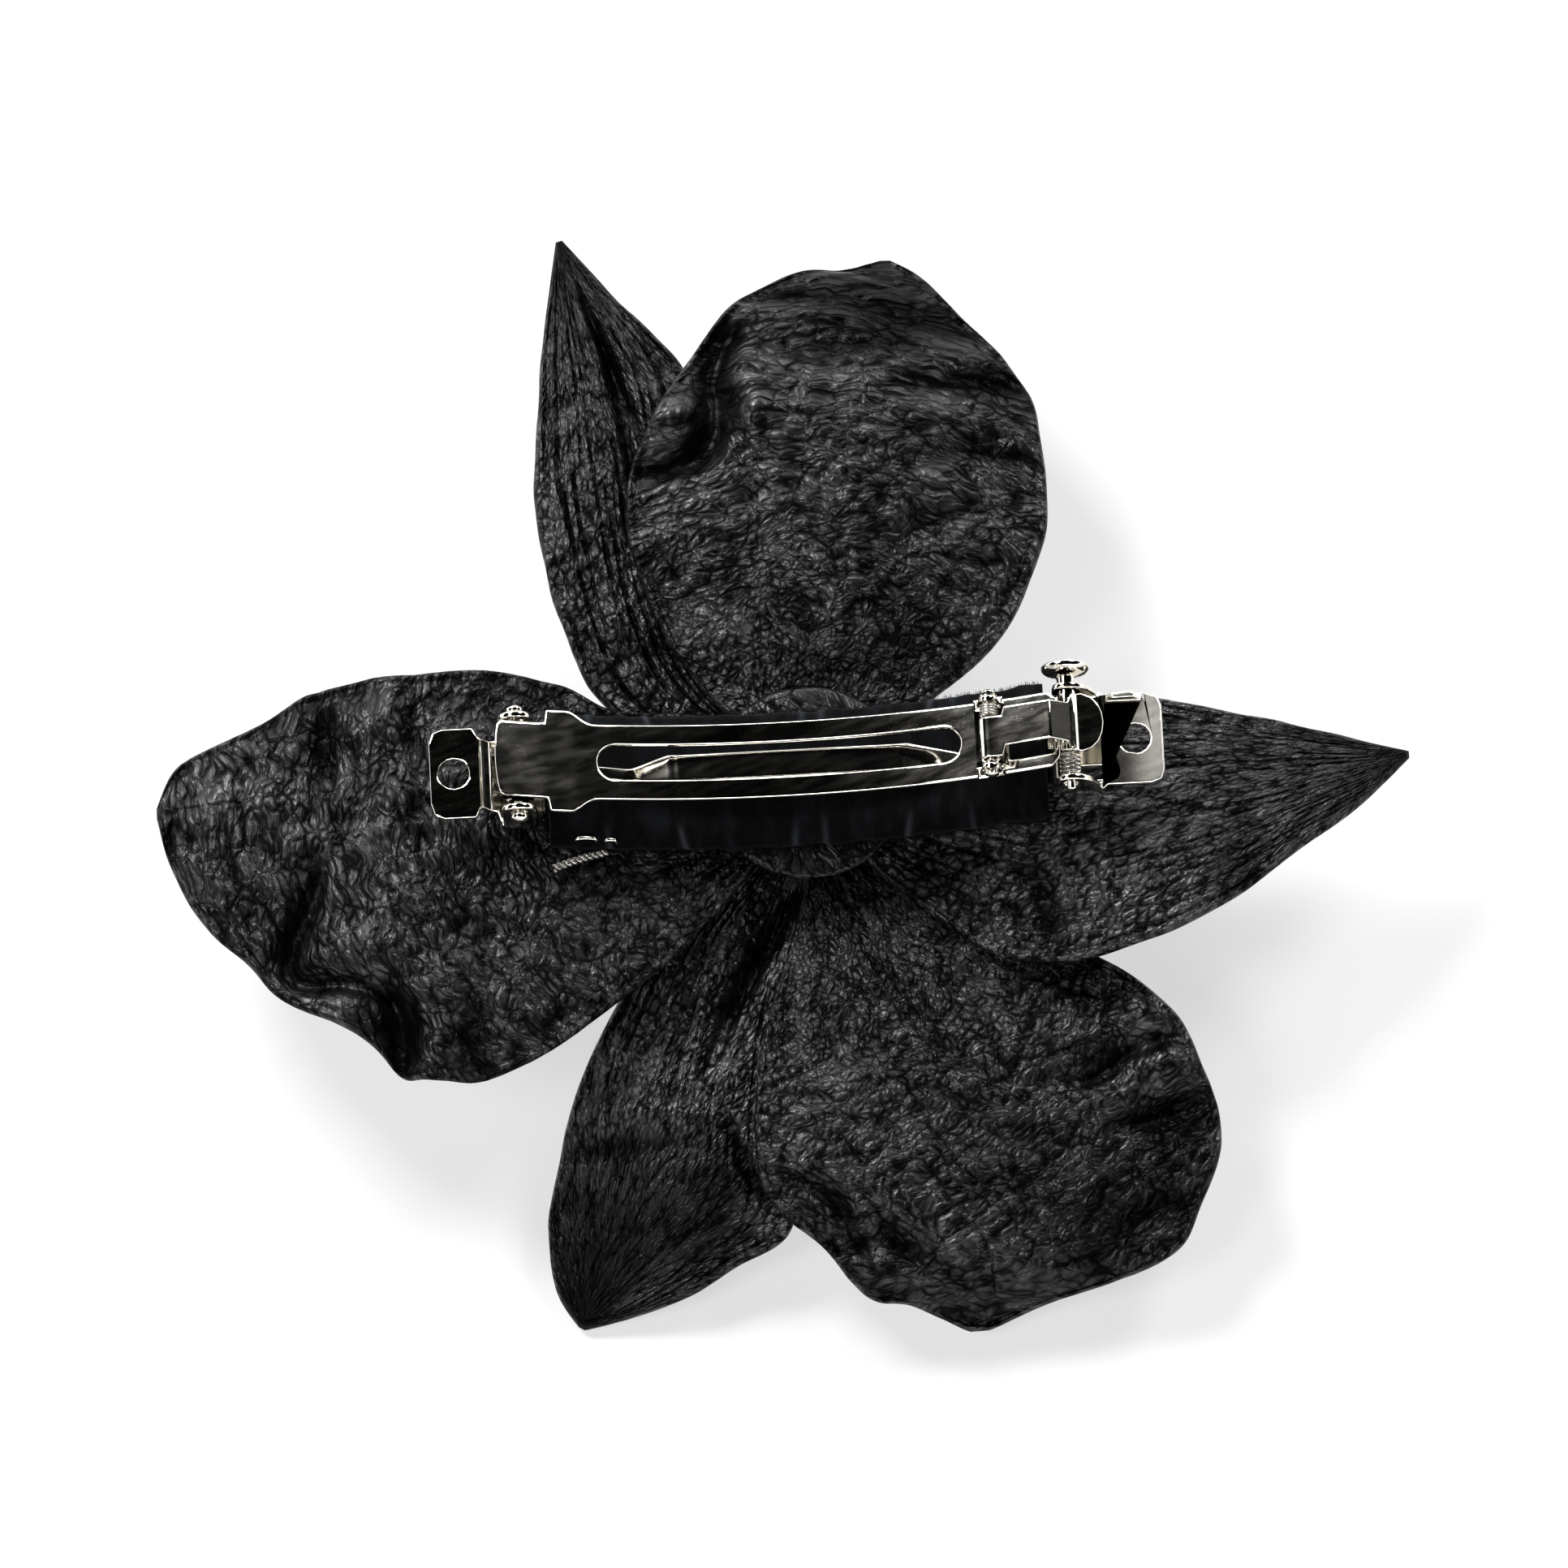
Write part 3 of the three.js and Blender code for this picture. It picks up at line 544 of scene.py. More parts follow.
def petal_form(u, v, x, y, width, heights, cup, swells, folds, ruffles, shade_spots):
    """The petal's large shape, how taut its skin is, and its painted shade in furrows, ruffle troughs and
    shade spots, both 0 to 1.
    """
    rise = spline([(i, h) for i, h in enumerate(heights)], ALONG, even=False)[:, 1:]
    z = rise - cup * (2 * u - 1) ** 2 * np.minimum(1, np.minimum(2.5 * v, 4 * (1 - v)))
    taut, painted_shade = np.zeros_like(x), np.zeros_like(x)
    for swell_x, swell_y, radius, height in swells:
        swell = bell(np.hypot(x - swell_x, y - swell_y), radius)
        z = z + height * swell
        if radius < 5:
            taut = taut + max(0, height) * swell / 2.2
    for path, wide, height in folds:
        gap, along = away(x, y, path)
        fade = np.sin(math.pi * (0.12 + 0.76 * along))
        wide = wide * (0.6 + 0.4 * np.sin(math.pi * along))
        z = z + height * bell(gap, wide) * fade
        taut = taut + abs(height) * bell(gap, wide * 1.3) / 2.5
        # Painted shade along a furrow.
        painted_shade = painted_shade + min(1, max(0, -height) / 1.1) * bell(gap, wide * 0.85) * fade
    for side, start, stop, count, height in ruffles:
        from_edge = (u if side == "left" else 1 - u) * width
        span = np.clip((v - start) / (stop - start), 0, 1)
        wave = np.sin(span * count * 2 * math.pi) * np.sin(span * math.pi) * bell(from_edge, 7)
        z = z + height * wave
        # Painted shade in the ruffles' troughs.
        painted_shade = painted_shade + np.clip(-height * wave, 0, 0.5)
    # Painted shade on each shade spot, darker and less shiny.
    for shade_x, shade_y, radius, amount in shade_spots:
        painted_shade = painted_shade + amount * bell(np.hypot(x - shade_x, y - shade_y), radius)
    return z, np.clip(taut, 0, 1), np.clip(painted_shade, 0, 1)


def wrinkles(u, v, x, y, width, grain, stretch, seed):
    """Fine relief of the leather, and how much painted shade its creases get, 0 to 1.

    A pointed petal has stripes along it, deep (striped) or light (combed). A round one (crinkled) has arcs
    across it.
    """
    broad, middle, drift = (Noise(seed + k) for k in range(3))
    cells = Cells(seed + 5)
    round_way = np.arctan2(y, x - CENTRE[0]) * SCALE_RADIUS
    far_out = np.hypot(x - CENTRE[0], y) + 2.4 * drift(x / 11, y / 11) + 0.5 * drift(x / 3, y / 3)
    calm = np.clip(v * 8, 0.25, 1)
    relief = 0.6 * broad(x / 9, y / 9) * calm
    if grain != "crinkled":
        deep = 1.1 if grain == "striped" else 0.5
        lanes = u * width.max() / 1.35 + 1.5 * drift(u * 3, v * 2) + 0.25 * drift(u * 14, v * 9)
        near = np.clip(1.7 - 1.7 * np.abs(lanes % 1 - 0.5) / 0.25, 0, 1)
        patch = np.clip(0.7 + 2.2 * broad(np.floor(lanes) * 0.73, v * 3), 0.1, 1)
        breaks = np.clip(0.85 + 1.2 * middle(lanes * 1.5, v * 20), 0.5, 1)
        stripe = near * patch * breaks
        relief = relief - (0.15 + 0.23 * deep) * stripe * calm + 0.06 * cells(lanes * 1.2, v * 30)
        across = creases(middle, u * 2.5, v * 16)
        return relief + 0.2 * across, np.clip(deep * stripe - 0.25 * across, 0, 1)
    patch = np.clip(0.55 + 1.1 * broad(x / 7 + 9, y / 7), 0.2, 1)
    scales = cells(round_way / (1.8 * stretch), far_out / 1.5)
    arcs = creases(middle, round_way / (4.5 * stretch), far_out / 2.8)
    rays = creases(broad, round_way / 6, far_out / 14)
    relief = relief + (0.34 * scales + 0.38 * arcs) * patch * calm + 0.28 * rays
    return relief, np.clip(((1 - scales) ** 2 * 0.5 - 0.75 * arcs) * patch - 0.25 * rays, 0, 1)


def petal(name, node, left, right, heights, cup, grain, swells, folds, ruffles, seed, shade_spots, stretch=2.0):
    """One closed leather petal with a rolled rim, in place of a CAD node."""
    u, v, x, y, width = petal_plan(left, right)
    length = math.hypot(*(np.array(left[-1]) - left[0]))
    z, taut, painted_shade = petal_form(u, v, x, y, width, heights, cup, swells, folds, ruffles, shade_spots)
    rim = np.minimum(np.minimum(u, 1 - u) * width, np.minimum(v, 1 - v) * length)
    relief, crease_shading = wrinkles(u, v, x, y, width, grain, stretch, seed)
    # Painted shade in the leather's creases, less where the skin is taut.
    painted_shade = np.maximum(painted_shade, crease_shading * (1 - 0.8 * taut))
    z = z + relief * (1 - 0.7 * bell(rim, 0.9)) * (1 - 0.6 * taut)
    z = z + 0.14 * bell(rim - 0.45, 0.3) - 0.12 * bell(rim - 1.2, 0.35)
    half = THICK / 2 * rounded(rim, THICK / 2)
    wobble = 0.35 * Noise(seed + 9)(x / 6, y / 6) * bell(rim, 2.5) * np.minimum(1, 4 * (1 - v))
    top = place(np.stack([x + wobble, y + wobble, z + half], axis=-1))
    bottom = place(np.stack([x + wobble, y + wobble, z - half], axis=-1))
    made = leaf_body(name, top, bottom)
    for kind, values in (("taut", taut), ("painted_shade", painted_shade)):
        mark(made, kind, np.concatenate([values.ravel(), values[1:-1, 1:-1].ravel()]))
    turn = petal_turn(left, right)
    if grain == "crinkled":
        material = leather(f"leather_{name}", CENTRE, turn, stretch)
    else:
        gloss = 0.46 if grain == "striped" else 0.68
        material = leather(f"leather_{name}", left[-1], turn + math.pi, 0.55, 0.7, 1.0, gloss)
    return finish_piece(made, "flower", "leather", material, node)


def flower_petals():
    """The six large petals."""
    for number, (node, shape) in enumerate(PETALS.items()):
        petal(f"leaf_{node}", node, seed=10 * number + 1, **shape)


# ---------------------------------------------------------------- metal
def tension_strip(material):
    """The spring strip under the arm, a wide panel between two narrow slanting ends, and its hinge eye."""
    start, end = -29.2, 18.3
    panel_start, panel_end = -13.2, 12.2
    x = np.linspace(start, end, 300)[:, None]
    across = np.sin(np.linspace(-math.pi / 2, math.pi / 2, 33))[None, :]

    def along(*corners):
        """A value along the strip, with its corners a little rounded."""
        return sum(np.interp(x + shift, *zip(*corners)) for shift in (-0.3, -0.1, 0.1, 0.3)) / 4

    half_width = along((-30, 0.7), (-17.9, 0.7), (-13.9, 1.7), (12.4, 1.7), (18.2, 0.6))
    middle = along(
        (-29.5, 1.45), (-27.6, 0.55), (-18.4, -3.85), (-17.7, -4.0), (-13.7, -2.6), (12.2, -2.6), (18.2, -4.0)
    )
    y = half_width * across
    inside = np.clip(1.55 - np.abs(y), 0, 0.15) / 0.15
    panel = inside * np.clip(np.minimum(x - panel_start, panel_end - x) / 0.5, 0, 1)
    z = TAB + middle + 0.1 * panel - 0.2 * across**8 * np.clip(half_width - 0.7, 0, 1)
    rim = np.minimum((1 - np.abs(across)) * half_width, np.minimum(x - start, end - x))
    half = 0.25 * rounded(rim, 0.22)
    skins = [place(np.stack([x + 0 * y, y, z + side * half], axis=-1)[:, ::-1]) for side in (1, -1)]
    finish_piece(leaf_body("tension_leaf", *skins), "tension", "nickel", material, "tension_bar")

    outline = [
        (0.9, -0.7), (1.16, -0.7), (1.2, -0.66), (1.2, 0.66),
        (1.16, 0.7), (0.9, 0.7), (0.86, 0.66), (0.86, -0.66),
    ]
    points, index = turned_rings(outline, HINGE, 48)
    eye = new_piece("tension_eye", place(points), quads(np.concatenate([index, index[:1]])))
    outward(eye)
    finish_piece(eye, "tension", "nickel", material)


def turned_rings(outline, centre, sides):
    """Rings of points round a line along Y, one for each (radius, y), and their numbers, seam closed."""
    angle = np.linspace(0, 2 * math.pi, sides, endpoint=False)
    rings = [
        np.stack([centre[0] + r * np.cos(angle), np.full(sides, y), centre[1] + r * np.sin(angle)], axis=1)
        for r, y in outline
    ]
    index = np.arange(len(outline) * sides).reshape(len(outline), sides)
    return np.concatenate(rings), np.concatenate([index, index[:, :1]], axis=1)


def polished(node, width, material, body):
    """The CAD node's shape with rounded edges, so that they catch the light."""
    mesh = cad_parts[node].data.copy()
    shape = bmesh.new()
    shape.from_mesh(mesh)
    bmesh.ops.remove_doubles(shape, verts=shape.verts, dist=2e-6)
    bmesh.ops.dissolve_limit(
        shape, angle_limit=math.radians(0.5), verts=shape.verts, edges=shape.edges, delimit={"NORMAL"}
    )
    shape.to_mesh(mesh)
    shape.free()
    piece = bpy.data.objects.new(f"fine_{node}", mesh)
    bpy.context.scene.collection.objects.link(piece)
    bevel = piece.modifiers.new("round", "BEVEL")
    bevel.width = width * MM
    bevel.segments = 3
    bevel.limit_method = "ANGLE"
    bevel.angle_limit = math.radians(28)
    bevel.use_clamp_overlap = False
    mesh.shade_smooth()
    weights = piece.modifiers.new("shade", "WEIGHTED_NORMAL")
    weights.keep_sharp = False
    weights.weight = 80
    apply_modifiers(piece)
    return finish_piece(piece, body, "nickel", material, node)


def apply_modifiers(piece):
    """Keep the shape that the modifiers make, and drop them."""
    bpy.context.view_layer.update()
    graph = bpy.context.evaluated_depsgraph_get()
    done = bpy.data.meshes.new_from_object(piece.evaluated_get(graph))
    piece.modifiers.clear()
    piece.data = done


def knob_body(material):
    """The push button: a stem through the clip and a domed head with a flared neck."""
    inner_end, outer_end = -6.3, 8.1
    outline = [
        (0.42, -6.25), (0.5, -6.1), (0.5, -2.05), (0.6, -2.0), (0.95, -1.95), (1.0, -1.85), (1.0, 6.3),
        (1.15, 6.6), (1.6, 6.8), (2.15, 7.0), (2.5, 7.25), (2.68, 7.5), (2.7, 7.65), (2.6, 7.8), (2.2, 7.92),
        (1.95, 7.9), (1.75, 7.88), (1.4, 8.0), (0.8, 8.08),
    ]
    sides = 56
    points, index = turned_rings(outline, KNOB, sides)
    ends = [[KNOB[0], inner_end, KNOB[1]], [KNOB[0], outer_end, KNOB[1]]]
    vertices = np.concatenate([points, ends])
    faces = [tuple(face) for face in quads(index)]
    first, last = len(vertices) - 2, len(vertices) - 1
    faces += [(first, index[0, k], index[0, k + 1]) for k in range(sides)]
    faces += [(last, index[-1, k + 1], index[-1, k]) for k in range(sides)]
    piece = new_piece("push_button", place(vertices), faces)
    outward(piece)
    return finish_piece(piece, "knob", "nickel", material, "release_knob")


def metal():
    """The clip's metal parts, each from its CAD node or a finer shape of its own."""
    shine = nickel()
    polished("base_plate", 0.24, nickel("plate_nickel", 0.06, satin_tab=0.22), "flower")
    polished("hinge_pin", 0.08, shine, "flower")
    polished("arm", 0.28, shine, "arm")
    polished("latch_pin", 0.06, shine, "arm")
    tension_strip(nickel("strip_nickel", 0.08))
    polished("latch_lever", 0.18, shine, "lever")
    knob_body(shine)


# ---------------------------------------------------------------- wires, disc, strip, centre
def tube(path, radius, sides=10):
    """Vertices and faces of a closed round tube along points in millimetres."""
    path = np.asarray(path, float)
    ahead = np.gradient(path, axis=0)
    ahead /= np.linalg.norm(ahead, axis=1)[:, None]
    up = np.cross(ahead, (0.13, 0.29, 0.95))
    up /= np.linalg.norm(up, axis=1)[:, None]
    over = np.cross(ahead, up)
    angle = np.linspace(0, 2 * math.pi, sides, endpoint=False)
    ring = np.cos(angle)[None, :, None] * up[:, None] + np.sin(angle)[None, :, None] * over[:, None]
    vertices = (path[:, None] + radius * ring).reshape(-1, 3)
    faces = []
    for i in range(len(path) - 1):
        for k in range(sides):
            n = (k + 1) % sides
            faces.append((i * sides + k, i * sides + n, (i + 1) * sides + n, (i + 1) * sides + k))
    last = (len(path) - 1) * sides
    faces.append(tuple(range(sides))[::-1])
    faces.append(tuple(range(last, last + sides)))
    return vertices, faces


def tubes(name, paths, radius, sides=10):
    """One piece from a round tube along each path."""
    vertices, faces = [], []
    for path in paths:
        more, sheets = tube(path, radius, sides)
        start = sum(len(v) for v in vertices)
        vertices.append(more)
        faces += [tuple(start + i for i in face) for face in sheets]
    piece = new_piece(name, place(np.concatenate(vertices)), faces)
    outward(piece)
    return piece


def coil_path(centre, radius, near, far, turns):
    """A helix along Y, from near to far."""
    t = np.linspace(0, 1, int(turns * 16) + 1)
    angle = 2 * math.pi * turns * t
    x = centre[0] + radius * np.cos(angle)
    z = centre[1] + radius * np.sin(angle)
    return np.stack([x, near + (far - near) * t, z], axis=1)


def springs(material):
    """The knob's coil, which the knob squashes against the base, and the lever's coil."""
    spring = tubes("knob_coil", [coil_path(KNOB, 0.98, -4.5, -2.4, 4.5)], 0.18)
    finish_piece(spring, "flower", "wire", material, "knob_spring")
    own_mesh(spring)
    lever = tubes("lever_coil", [coil_path(LATCH, 0.9, 2.0, 3.1, 3.5)], 0.14)
    finish_piece(lever, "arm", "wire", material, "lever_spring")


def wire_tail(material):
    """Two stiff wires twisted together, and the bright stitches beside them."""
    turns = 5
    run = spline([(-21.0, -7.9, 20.7), (-24.2, -8.9, 21.5), (-26.8, -9.9, 22.1)], 70)
    twist = np.linspace(0, turns * 2 * math.pi, len(run))[:, None]
    offset = 0.27 * (np.cos(twist) * np.array([0.3, -0.95, 0.0]) + np.sin(twist) * np.array([0.1, 0.1, 1.0]))
    twisted = tubes("twisted_wires", [run + offset, run - offset], 0.22, 8)
    finish_piece(twisted, "flower", "wire", material, "wire_tail")
    stitch = [
        spline([(-24.4, -7.0, 22.0), (-24.0, -6.8, 22.75), (-22.4, -6.75, 22.3), (-22.0, -6.9, 21.6)], 24),
        spline([(-21.2, -7.0, 21.3), (-20.9, -6.9, 21.95), (-20.1, -6.9, 21.75), (-19.8, -7.1, 21.0)], 24),
    ]
    finish_piece(tubes("stitches", stitch, 0.2, 8), "flower", "wire", nickel("bright_wire", 0.1))


def stem(material):
    """Wire wound closely round the flower's stem, and its core."""
    t = np.linspace(0, 1, 400)
    turns, radius = 13, 1.3
    angle = 2 * math.pi * turns * t
    x = CENTRE[0] + radius * np.cos(angle)
    y = CENTRE[1] + radius * np.sin(angle)
    wound = tubes("wound_stem", [np.stack([x, y, 10.9 + 5.8 * t], axis=1)], 0.24, 8)
    finish_piece(wound, "flower", "wire", material, "stem")
    core = [(*CENTRE, z) for z in np.linspace(10.6, 16.9, 12)]
    finish_piece(tubes("stem_core", [core], 1.2, 20), "flower", "wire", material)


def wires():
    """Everything made of wire."""
    material = steel_wire()
    springs(material)
    wire_tail(material)
    stem(material)


FAR_POINT, FAR_TURN = (-40, -30), 0.64  # a point well outside the flower, so that the grain there is straight


def backing_disc():
    """A smooth leather disc with a soft edge that droops a little."""
    rings, spokes, radius = 26, 120, 11.0
    r = radius * (np.linspace(0.02, 1, rings) ** 0.8)[:, None]
    angle = np.linspace(0, 2 * math.pi, spokes, endpoint=False)[None, :]
    noise = Noise(77)
    x = 1.5 + r * np.cos(angle) * (1 + 0.015 * np.sin(3 * angle + 1))
    y = r * np.sin(angle) + 0 * x
    z = 17.6 + 0.25 * noise(x / 4, y / 4) + 0.07 * noise(x / 1.2, y / 1.2) - 0.25 * (r / radius) ** 4
    half = 0.38 * np.sqrt(np.clip(1 - np.clip((r - radius + 0.5) / 0.5, 0, 1) ** 2, 0.02, 1)) + 0 * x
    points = [np.stack([x, y, z + side * half], axis=-1).reshape(-1, 3) for side in (1, -1)]
    count = rings * spokes
    faces = []
    for i in range(rings - 1):
        for k in range(spokes):
            n = (k + 1) % spokes
            a, b, c, d = i * spokes + k, (i + 1) * spokes + k, (i + 1) * spokes + n, i * spokes + n
            faces.append((a, b, c, d))
            faces.append((count + d, count + c, count + b, count + a))
    rim = (rings - 1) * spokes
    for k in range(spokes):
        n = (k + 1) % spokes
        faces.append((rim + k, count + rim + k, count + rim + n, rim + n))
    faces.append(tuple(range(spokes)))
    faces.append(tuple(count + k for k in range(spokes))[::-1])
    piece = new_piece("soft_disc", place(np.concatenate(points)), faces)
    mark(piece, "taut", np.full(2 * count, 0.9))
    # A flat share of painted shade over the whole disc, darker and less shiny.
    mark(piece, "painted_shade", np.full(2 * count, 0.35))
    material = leather("leather_disc", FAR_POINT, FAR_TURN, 1.0, 1.3)
    finish_piece(piece, "flower", "leather", material, "backing_disc")


def bow_height(x):
    """Upper face of the clip's bowed base, from the tabs' tops."""
    radius, middle, low = 80, -2, -7.8
    return low + radius - np.sqrt(radius**2 - (x - middle) ** 2)


RIBBON_ENDS = (-27.1, 27.5)
RIBBON_CREASES = (-21.5, -14.2, -11.0, -9.2, -5.6, 0.4, 3.1, 7.8, 13.6, 18.4, 23.2)


def ribbon():
    """Velvet over the clip's base, with upright creases and frayed edges."""
    across, along = 48, 240
    v = np.linspace(-1, 1, across)[None, :]
    x = np.linspace(*RIBBON_ENDS, along)[:, None]
    noise = Noise(91)
    reach = 7.7 + 0.5 * noise(x / 3, 0 * x) + 0.12 * noise(x / 0.7, 0 * x + 4)
    y = v * reach
    outside = np.clip((np.abs(y) - 4.9) / 2.8, 0, 1)
    z = TAB + bow_height(x) + 0.65 - 1.2 * outside**1.3
    # crease_shading marks the creases outside the base, where the velvet gets a painted highlight.
    crease_shading = np.zeros_like(z)
    for crease in RIBBON_CREASES:
        lean = x - crease - 0.25 * y * math.sin(crease)
        z = z + (0.28 * bell(lean, 0.35) - 0.12 * bell(lean - 0.8, 0.6)) * (0.3 + 0.7 * outside)
        crease_shading = crease_shading + 0.8 * bell(lean, 0.3) * outside * (0.5 + 0.5 * math.sin(7 * crease))
    z = z + 0.12 * noise(x / 1.6, y / 3)
    x = x + 0 * y
    rim = np.minimum((1 - np.abs(v)) * reach, np.minimum(x - RIBBON_ENDS[0], RIBBON_ENDS[1] - x))
    half = 0.3 * rounded(rim, 0.4)
    top = place(np.stack([x, y, z + half], axis=-1))
    bottom = place(np.stack([x, y, z - half], axis=-1))
    material = velvet()
    piece = leaf_body("velvet_ribbon", top[:, ::-1], bottom[:, ::-1])
    crease_shading = crease_shading[:, ::-1]
    mark(piece, "crease_shading", np.clip(np.concatenate([crease_shading.ravel(), crease_shading[1:-1, 1:-1].ravel()]), 0, 1))
    finish_piece(piece, "flower", "velvet", material, "backing_strip")
    fuzz = frayed_edges(x, y, z, material)


def frayed_edges(x, y, z, material):
    """Fine fibres along the ribbon's two long edges."""
    along, across = x.shape
    rng = np.random.default_rng(5)
    vertices, faces = [], []
    for edge in (0, across - 1):
        for _ in range(650):
            row = rng.integers(2, along - 2)
            foot = np.array([x[row, 0], y[row, edge], z[row, edge]])
            way = np.array([rng.normal(0, 0.35), math.copysign(1, foot[1]), rng.normal(-0.15, 0.3)])
            tip = foot + way * rng.uniform(0.15, 0.55)
            wide = np.array([0.035, 0, 0.01])
            start = len(vertices)
            vertices += [foot - wide, foot + wide, foot + (0, 0, 0.05), tip]
            faces += [(start, start + 2, start + 1), (start, start + 1, start + 3),
                      (start + 1, start + 2, start + 3), (start + 2, start, start + 3)]
    fuzz = new_piece("velvet_fuzz", place(np.array(vertices)), faces, smooth=False)
    return finish_piece(fuzz, "flower", "velvet", material)


def round_centre(radius, angle, z):
    """A grid of points at a radius and angle round the flower's axis."""
    x = CENTRE[0] + radius * np.cos(angle)
    y = CENTRE[1] + radius * np.sin(angle)
    return place(np.stack([x, y, z + 0 * radius], axis=-1))


def inner_petals():
    """Three small petals that close round the bud on the flower's front."""
    reach = [(2.6, 9.9), (6.4, 8.4), (8.6, 4.6), (9.2, 0.9)]
    rows, columns = 60, 60
    for number in range(3):
        turn = math.pi / 2 + number * 2 * math.pi / 3
        noise = Noise(120 + number)
        v = np.linspace(0, 1, rows)[:, None]
        u = np.linspace(0, 1, columns)[None, :]
        profile = spline(reach, rows, even=False)
        ahead = np.gradient(profile, axis=0)
        ahead /= np.linalg.norm(ahead, axis=1)[:, None]
        width = 0.82 * np.sqrt(np.clip(1 - (0.95 * v) ** 3, 0.1, 1))
        angle = turn - (u - 0.5) * 2 * width
        swell = 0.25 * noise(u * 5, v * 5) + 0.12 * creases(noise, u * 12, v * 4)
        swell = swell + 0.3 * np.sin(v * 9 + u * 5) * v
        rim = np.minimum(np.minimum(u, 1 - u) * width * 16, np.minimum(v, 1 - v) * 12)
        half = 0.4 * rounded(rim, 0.4)
        skins = []
        for side in (1, -1):
            out = swell + side * half
            r = profile[:, :1] - ahead[:, 1:] * out
            z = profile[:, 1:] + ahead[:, :1] * out
            skins.append(round_centre(r, angle, z))
        piece = leaf_body(f"leaf_inner_{number + 1}", *skins)
        material = leather(f"leather_inner_{number + 1}", CENTRE, turn, 0.8, 1.3)
        finish_piece(piece, "flower", "leather", material, f"inner_petal_{number + 1}")


def rolled_bud():
    """A tight spiral roll of leather, pointed at the front."""
    rows, columns, turns = 50, 260, 3.2
    t = np.linspace(0, 1, columns)[None, :]
    v = np.linspace(0, 1, rows)[:, None]
    noise = Noise(150)
    angle = t * turns * 2 * math.pi
    body = np.interp(v, [0, 0.25, 0.55, 0.85, 1], [1.1, 1.9, 2.4, 1.7, 0.9])
    r = body * (0.25 + 0.75 * t) + 0.06 * noise(t * 30, v * 6)
    low = 2.2 + 1.4 * t + 0.2 * noise(t * 16, 0 * t)
    z = 10.2 + (low - 10.2) * v
    half = 0.13 * rounded(np.minimum(v, 1 - v), 1 / 30) * rounded(np.minimum(t, 1 - t), 1 / 60)
    piece = leaf_body("rolled_bud", *(round_centre(r + side * half, angle, z) for side in (1, -1)))
    finish_piece(piece, "flower", "leather", leather("leather_bud", FAR_POINT, FAR_TURN, 1.0, 1.4), "bud")


# ---------------------------------------------------------------- floor, light and camera
def floor():
    """A plain pale floor that glows a little, so that it stays near white under soft light."""
    s = Shader("pale_floor", Roughness=0.7, Specular_IOR_Level=0.2, Emission_Strength=0.62)
    grain = s.noise(s.coordinates(), 0.02, 2.0)
    material = s.set(
        Base_Color=s.mix(grain, (0.22, 0.22, 0.22, 1), (0.24, 0.24, 0.24, 1)),
        Emission_Color=s.mix(grain, (0.95, 0.95, 0.95, 1), (1.0, 1.0, 1.0, 1)),
    )
    size = 1.5
    corners = [(-size, -size, 0), (size, -size, 0), (size, size, 0), (-size, size, 0)]
    plane = new_piece("floor", corners, [(0, 1, 2, 3)], smooth=False)
    plane.data.materials.append(material)


def studio_world():
    """Uneven white walls low down all round, and a dark ceiling that polished faces mirror as black."""
    world = bpy.data.worlds.new("studio")
    world.use_nodes = True
    bpy.context.scene.world = world
    tree = world.node_tree
    background = tree.nodes["Background"]
    source = tree.nodes.new("ShaderNodeTexCoord").outputs["Generated"]
    split = tree.nodes.new("ShaderNodeSeparateXYZ")
    tree.links.new(source, split.inputs[0])
    ramp = tree.nodes.new("ShaderNodeValToRGB")
    ramp.color_ramp.interpolation = "EASE"
    stops = [(0.0, 0.9), (0.14, 1.0), (0.21, 0.02), (0.45, 0.001), (1.0, 0.0003)]
    while len(ramp.color_ramp.elements) < len(stops):
        ramp.color_ramp.elements.new(0.5)
    for element, (position, level) in zip(ramp.color_ramp.elements, stops):
        element.position = position
        element.color = (level, level * 1.01, level * 1.03, 1)
    tree.links.new(split.outputs["Z"], ramp.inputs[0])
    uneven = tree.nodes.new("ShaderNodeTexNoise")
    uneven.inputs["Scale"].default_value = 1.3
    tree.links.new(source, uneven.inputs["Vector"])
    spread = tree.nodes.new("ShaderNodeMapRange")
    for socket, value in (("From Min", 0.42), ("From Max", 0.58), ("To Min", 0.6), ("To Max", 4.5)):
        spread.inputs[socket].default_value = value
    tree.links.new(uneven.outputs["Fac"], spread.inputs["Value"])
    tree.links.new(ramp.outputs[0], background.inputs["Color"])
    tree.links.new(spread.outputs[0], background.inputs["Strength"])


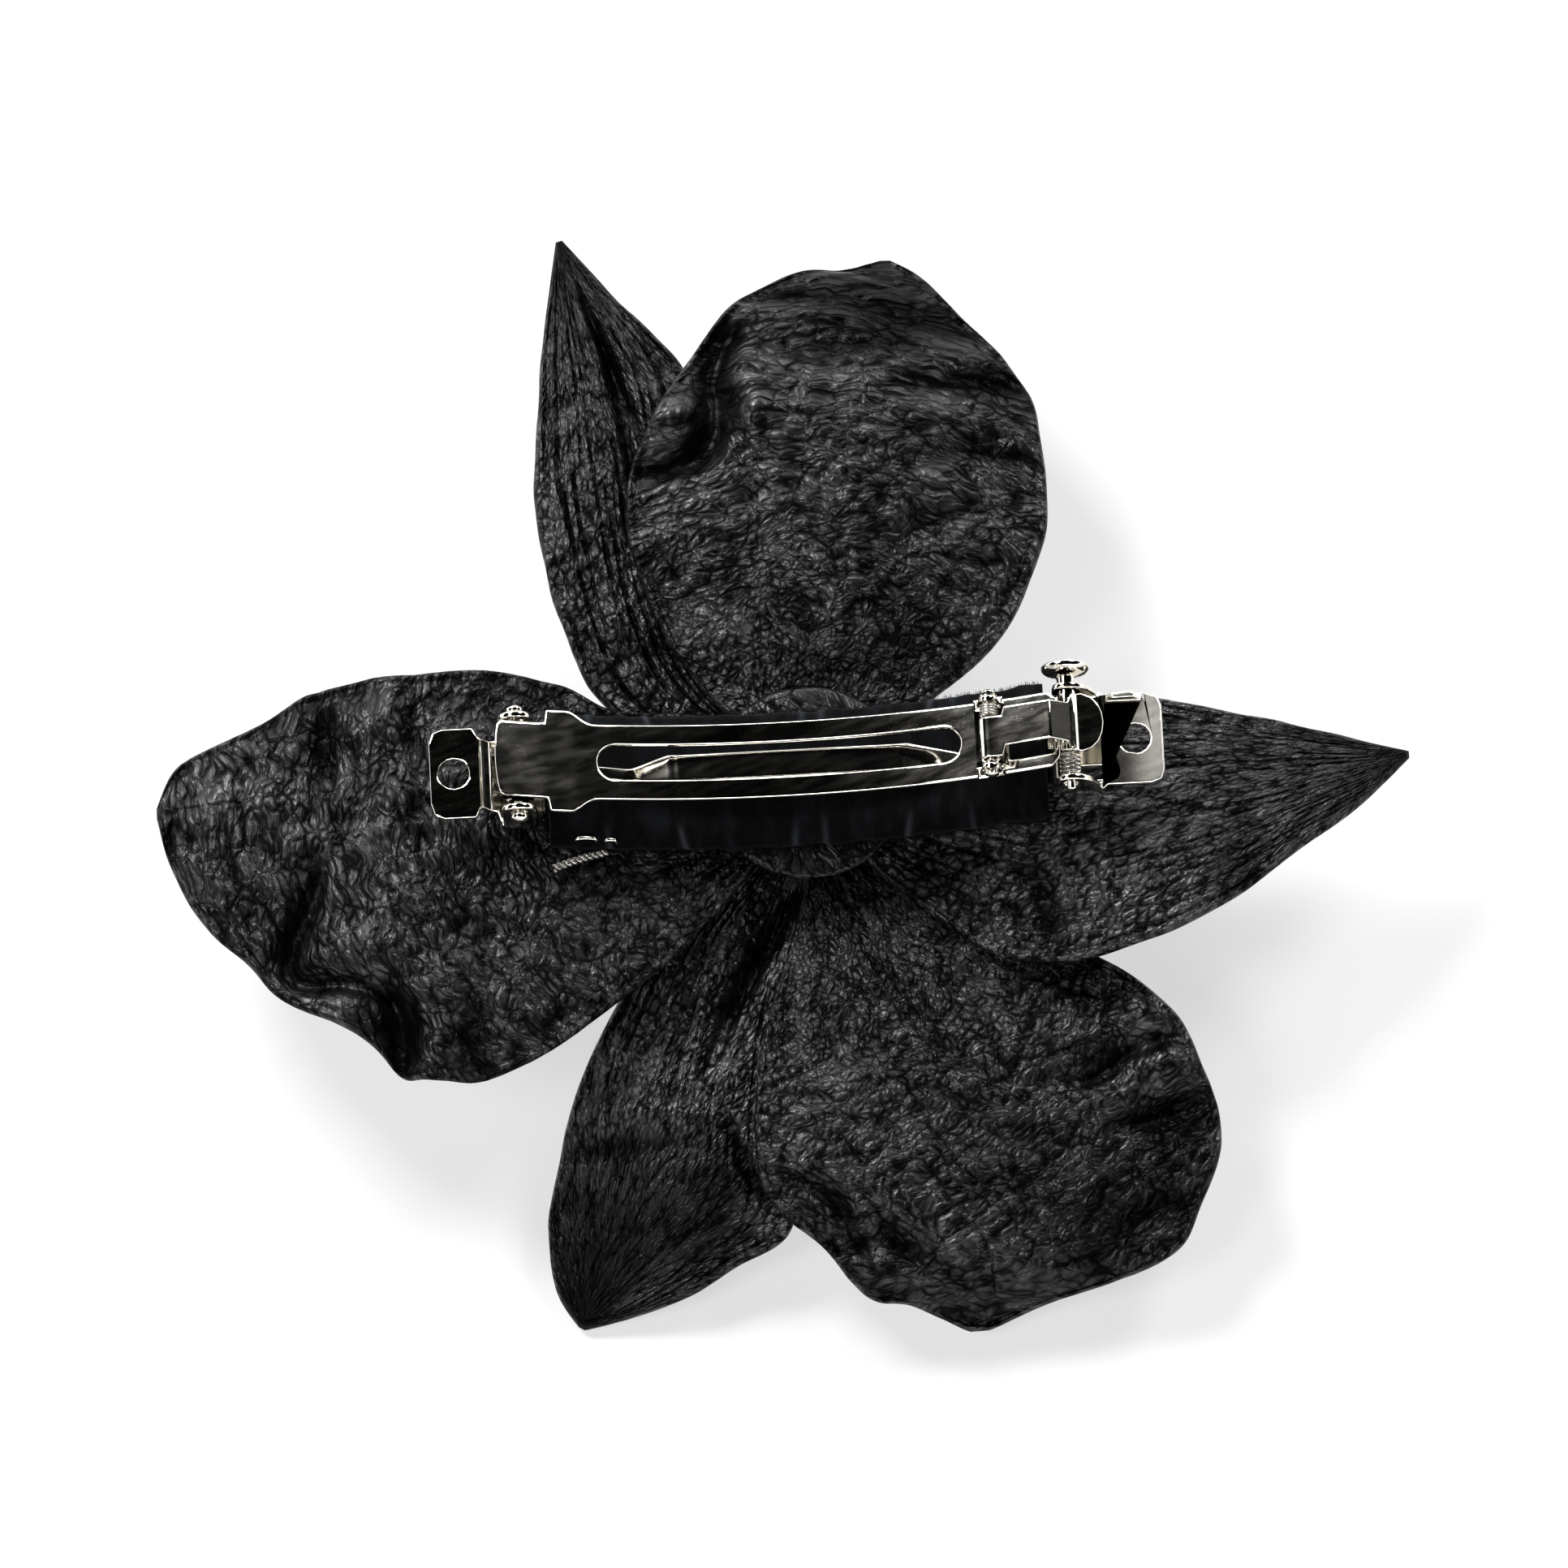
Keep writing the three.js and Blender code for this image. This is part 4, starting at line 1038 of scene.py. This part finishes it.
def area_light(name, spot, size, power):
    """A soft box at a spot, aimed at the part."""
    aim = Vector((0, 0, 0.02))
    light = bpy.data.lights.new(name, "AREA")
    light.shape = "RECTANGLE"
    light.size, light.size_y = size
    light.energy = power
    lamp = bpy.data.objects.new(name, light)
    lamp.location = spot
    lamp.rotation_euler = (aim - Vector(spot)).to_track_quat("-Z", "Y").to_euler()
    bpy.context.scene.collection.objects.link(lamp)


def lights():
    """Soft boxes that light the leather, and two long strips that draw bright lines on the clip's edges."""
    area_light("top_box", (-0.46, 0.56, 0.7), (0.3, 0.26), 17)
    area_light("right_box", (0.5, 0.56, 0.66), (0.3, 0.24), 7)
    area_light("fill_box", (-0.5, -0.25, 0.8), (0.3, 0.3), 4)
    area_light("back_strip", (-0.1, 0.9, 0.36), (1.0, 0.1), 4)
    area_light("front_strip", (-0.1, -0.85, 0.32), (1.1, 0.12), 5)


def camera():
    """A long lens, high in front of the part, rolled a little as in the photograph."""
    elevation, roll = math.radians(72), math.radians(3)
    frame_width = 171.0 * MM
    shift_right, shift_up = 1.1 * MM, 3.1 * MM  # of the part in the picture
    lens, sensor = 500, 36
    back = Vector((0, -math.cos(elevation), math.sin(elevation)))
    up = Vector((0, math.sin(elevation), math.cos(elevation)))
    right = Vector((1, 0, 0))
    right, up = right * math.cos(roll) - up * math.sin(roll), up * math.cos(roll) + right * math.sin(roll)
    middle = ORIGIN + Vector((0, 0, TAB * MM)) - right * shift_right - up * shift_up
    data = bpy.data.cameras.new("camera")
    data.lens, data.sensor_width = lens, sensor
    data.clip_start, data.clip_end = 0.01, 10
    made = bpy.data.objects.new("camera", data)
    axes = Matrix((right, up, back)).transposed().to_4x4()
    axes.translation = middle + back * (frame_width * lens / sensor)
    made.matrix_world = axes
    bpy.context.scene.collection.objects.link(made)
    bpy.context.scene.camera = made


camera()
flower_petals()
inner_petals()
rolled_bud()
backing_disc()
metal()
ribbon()
wires()
floor()
studio_world()
lights()
bpy.context.scene.view_settings.view_transform = "Standard"
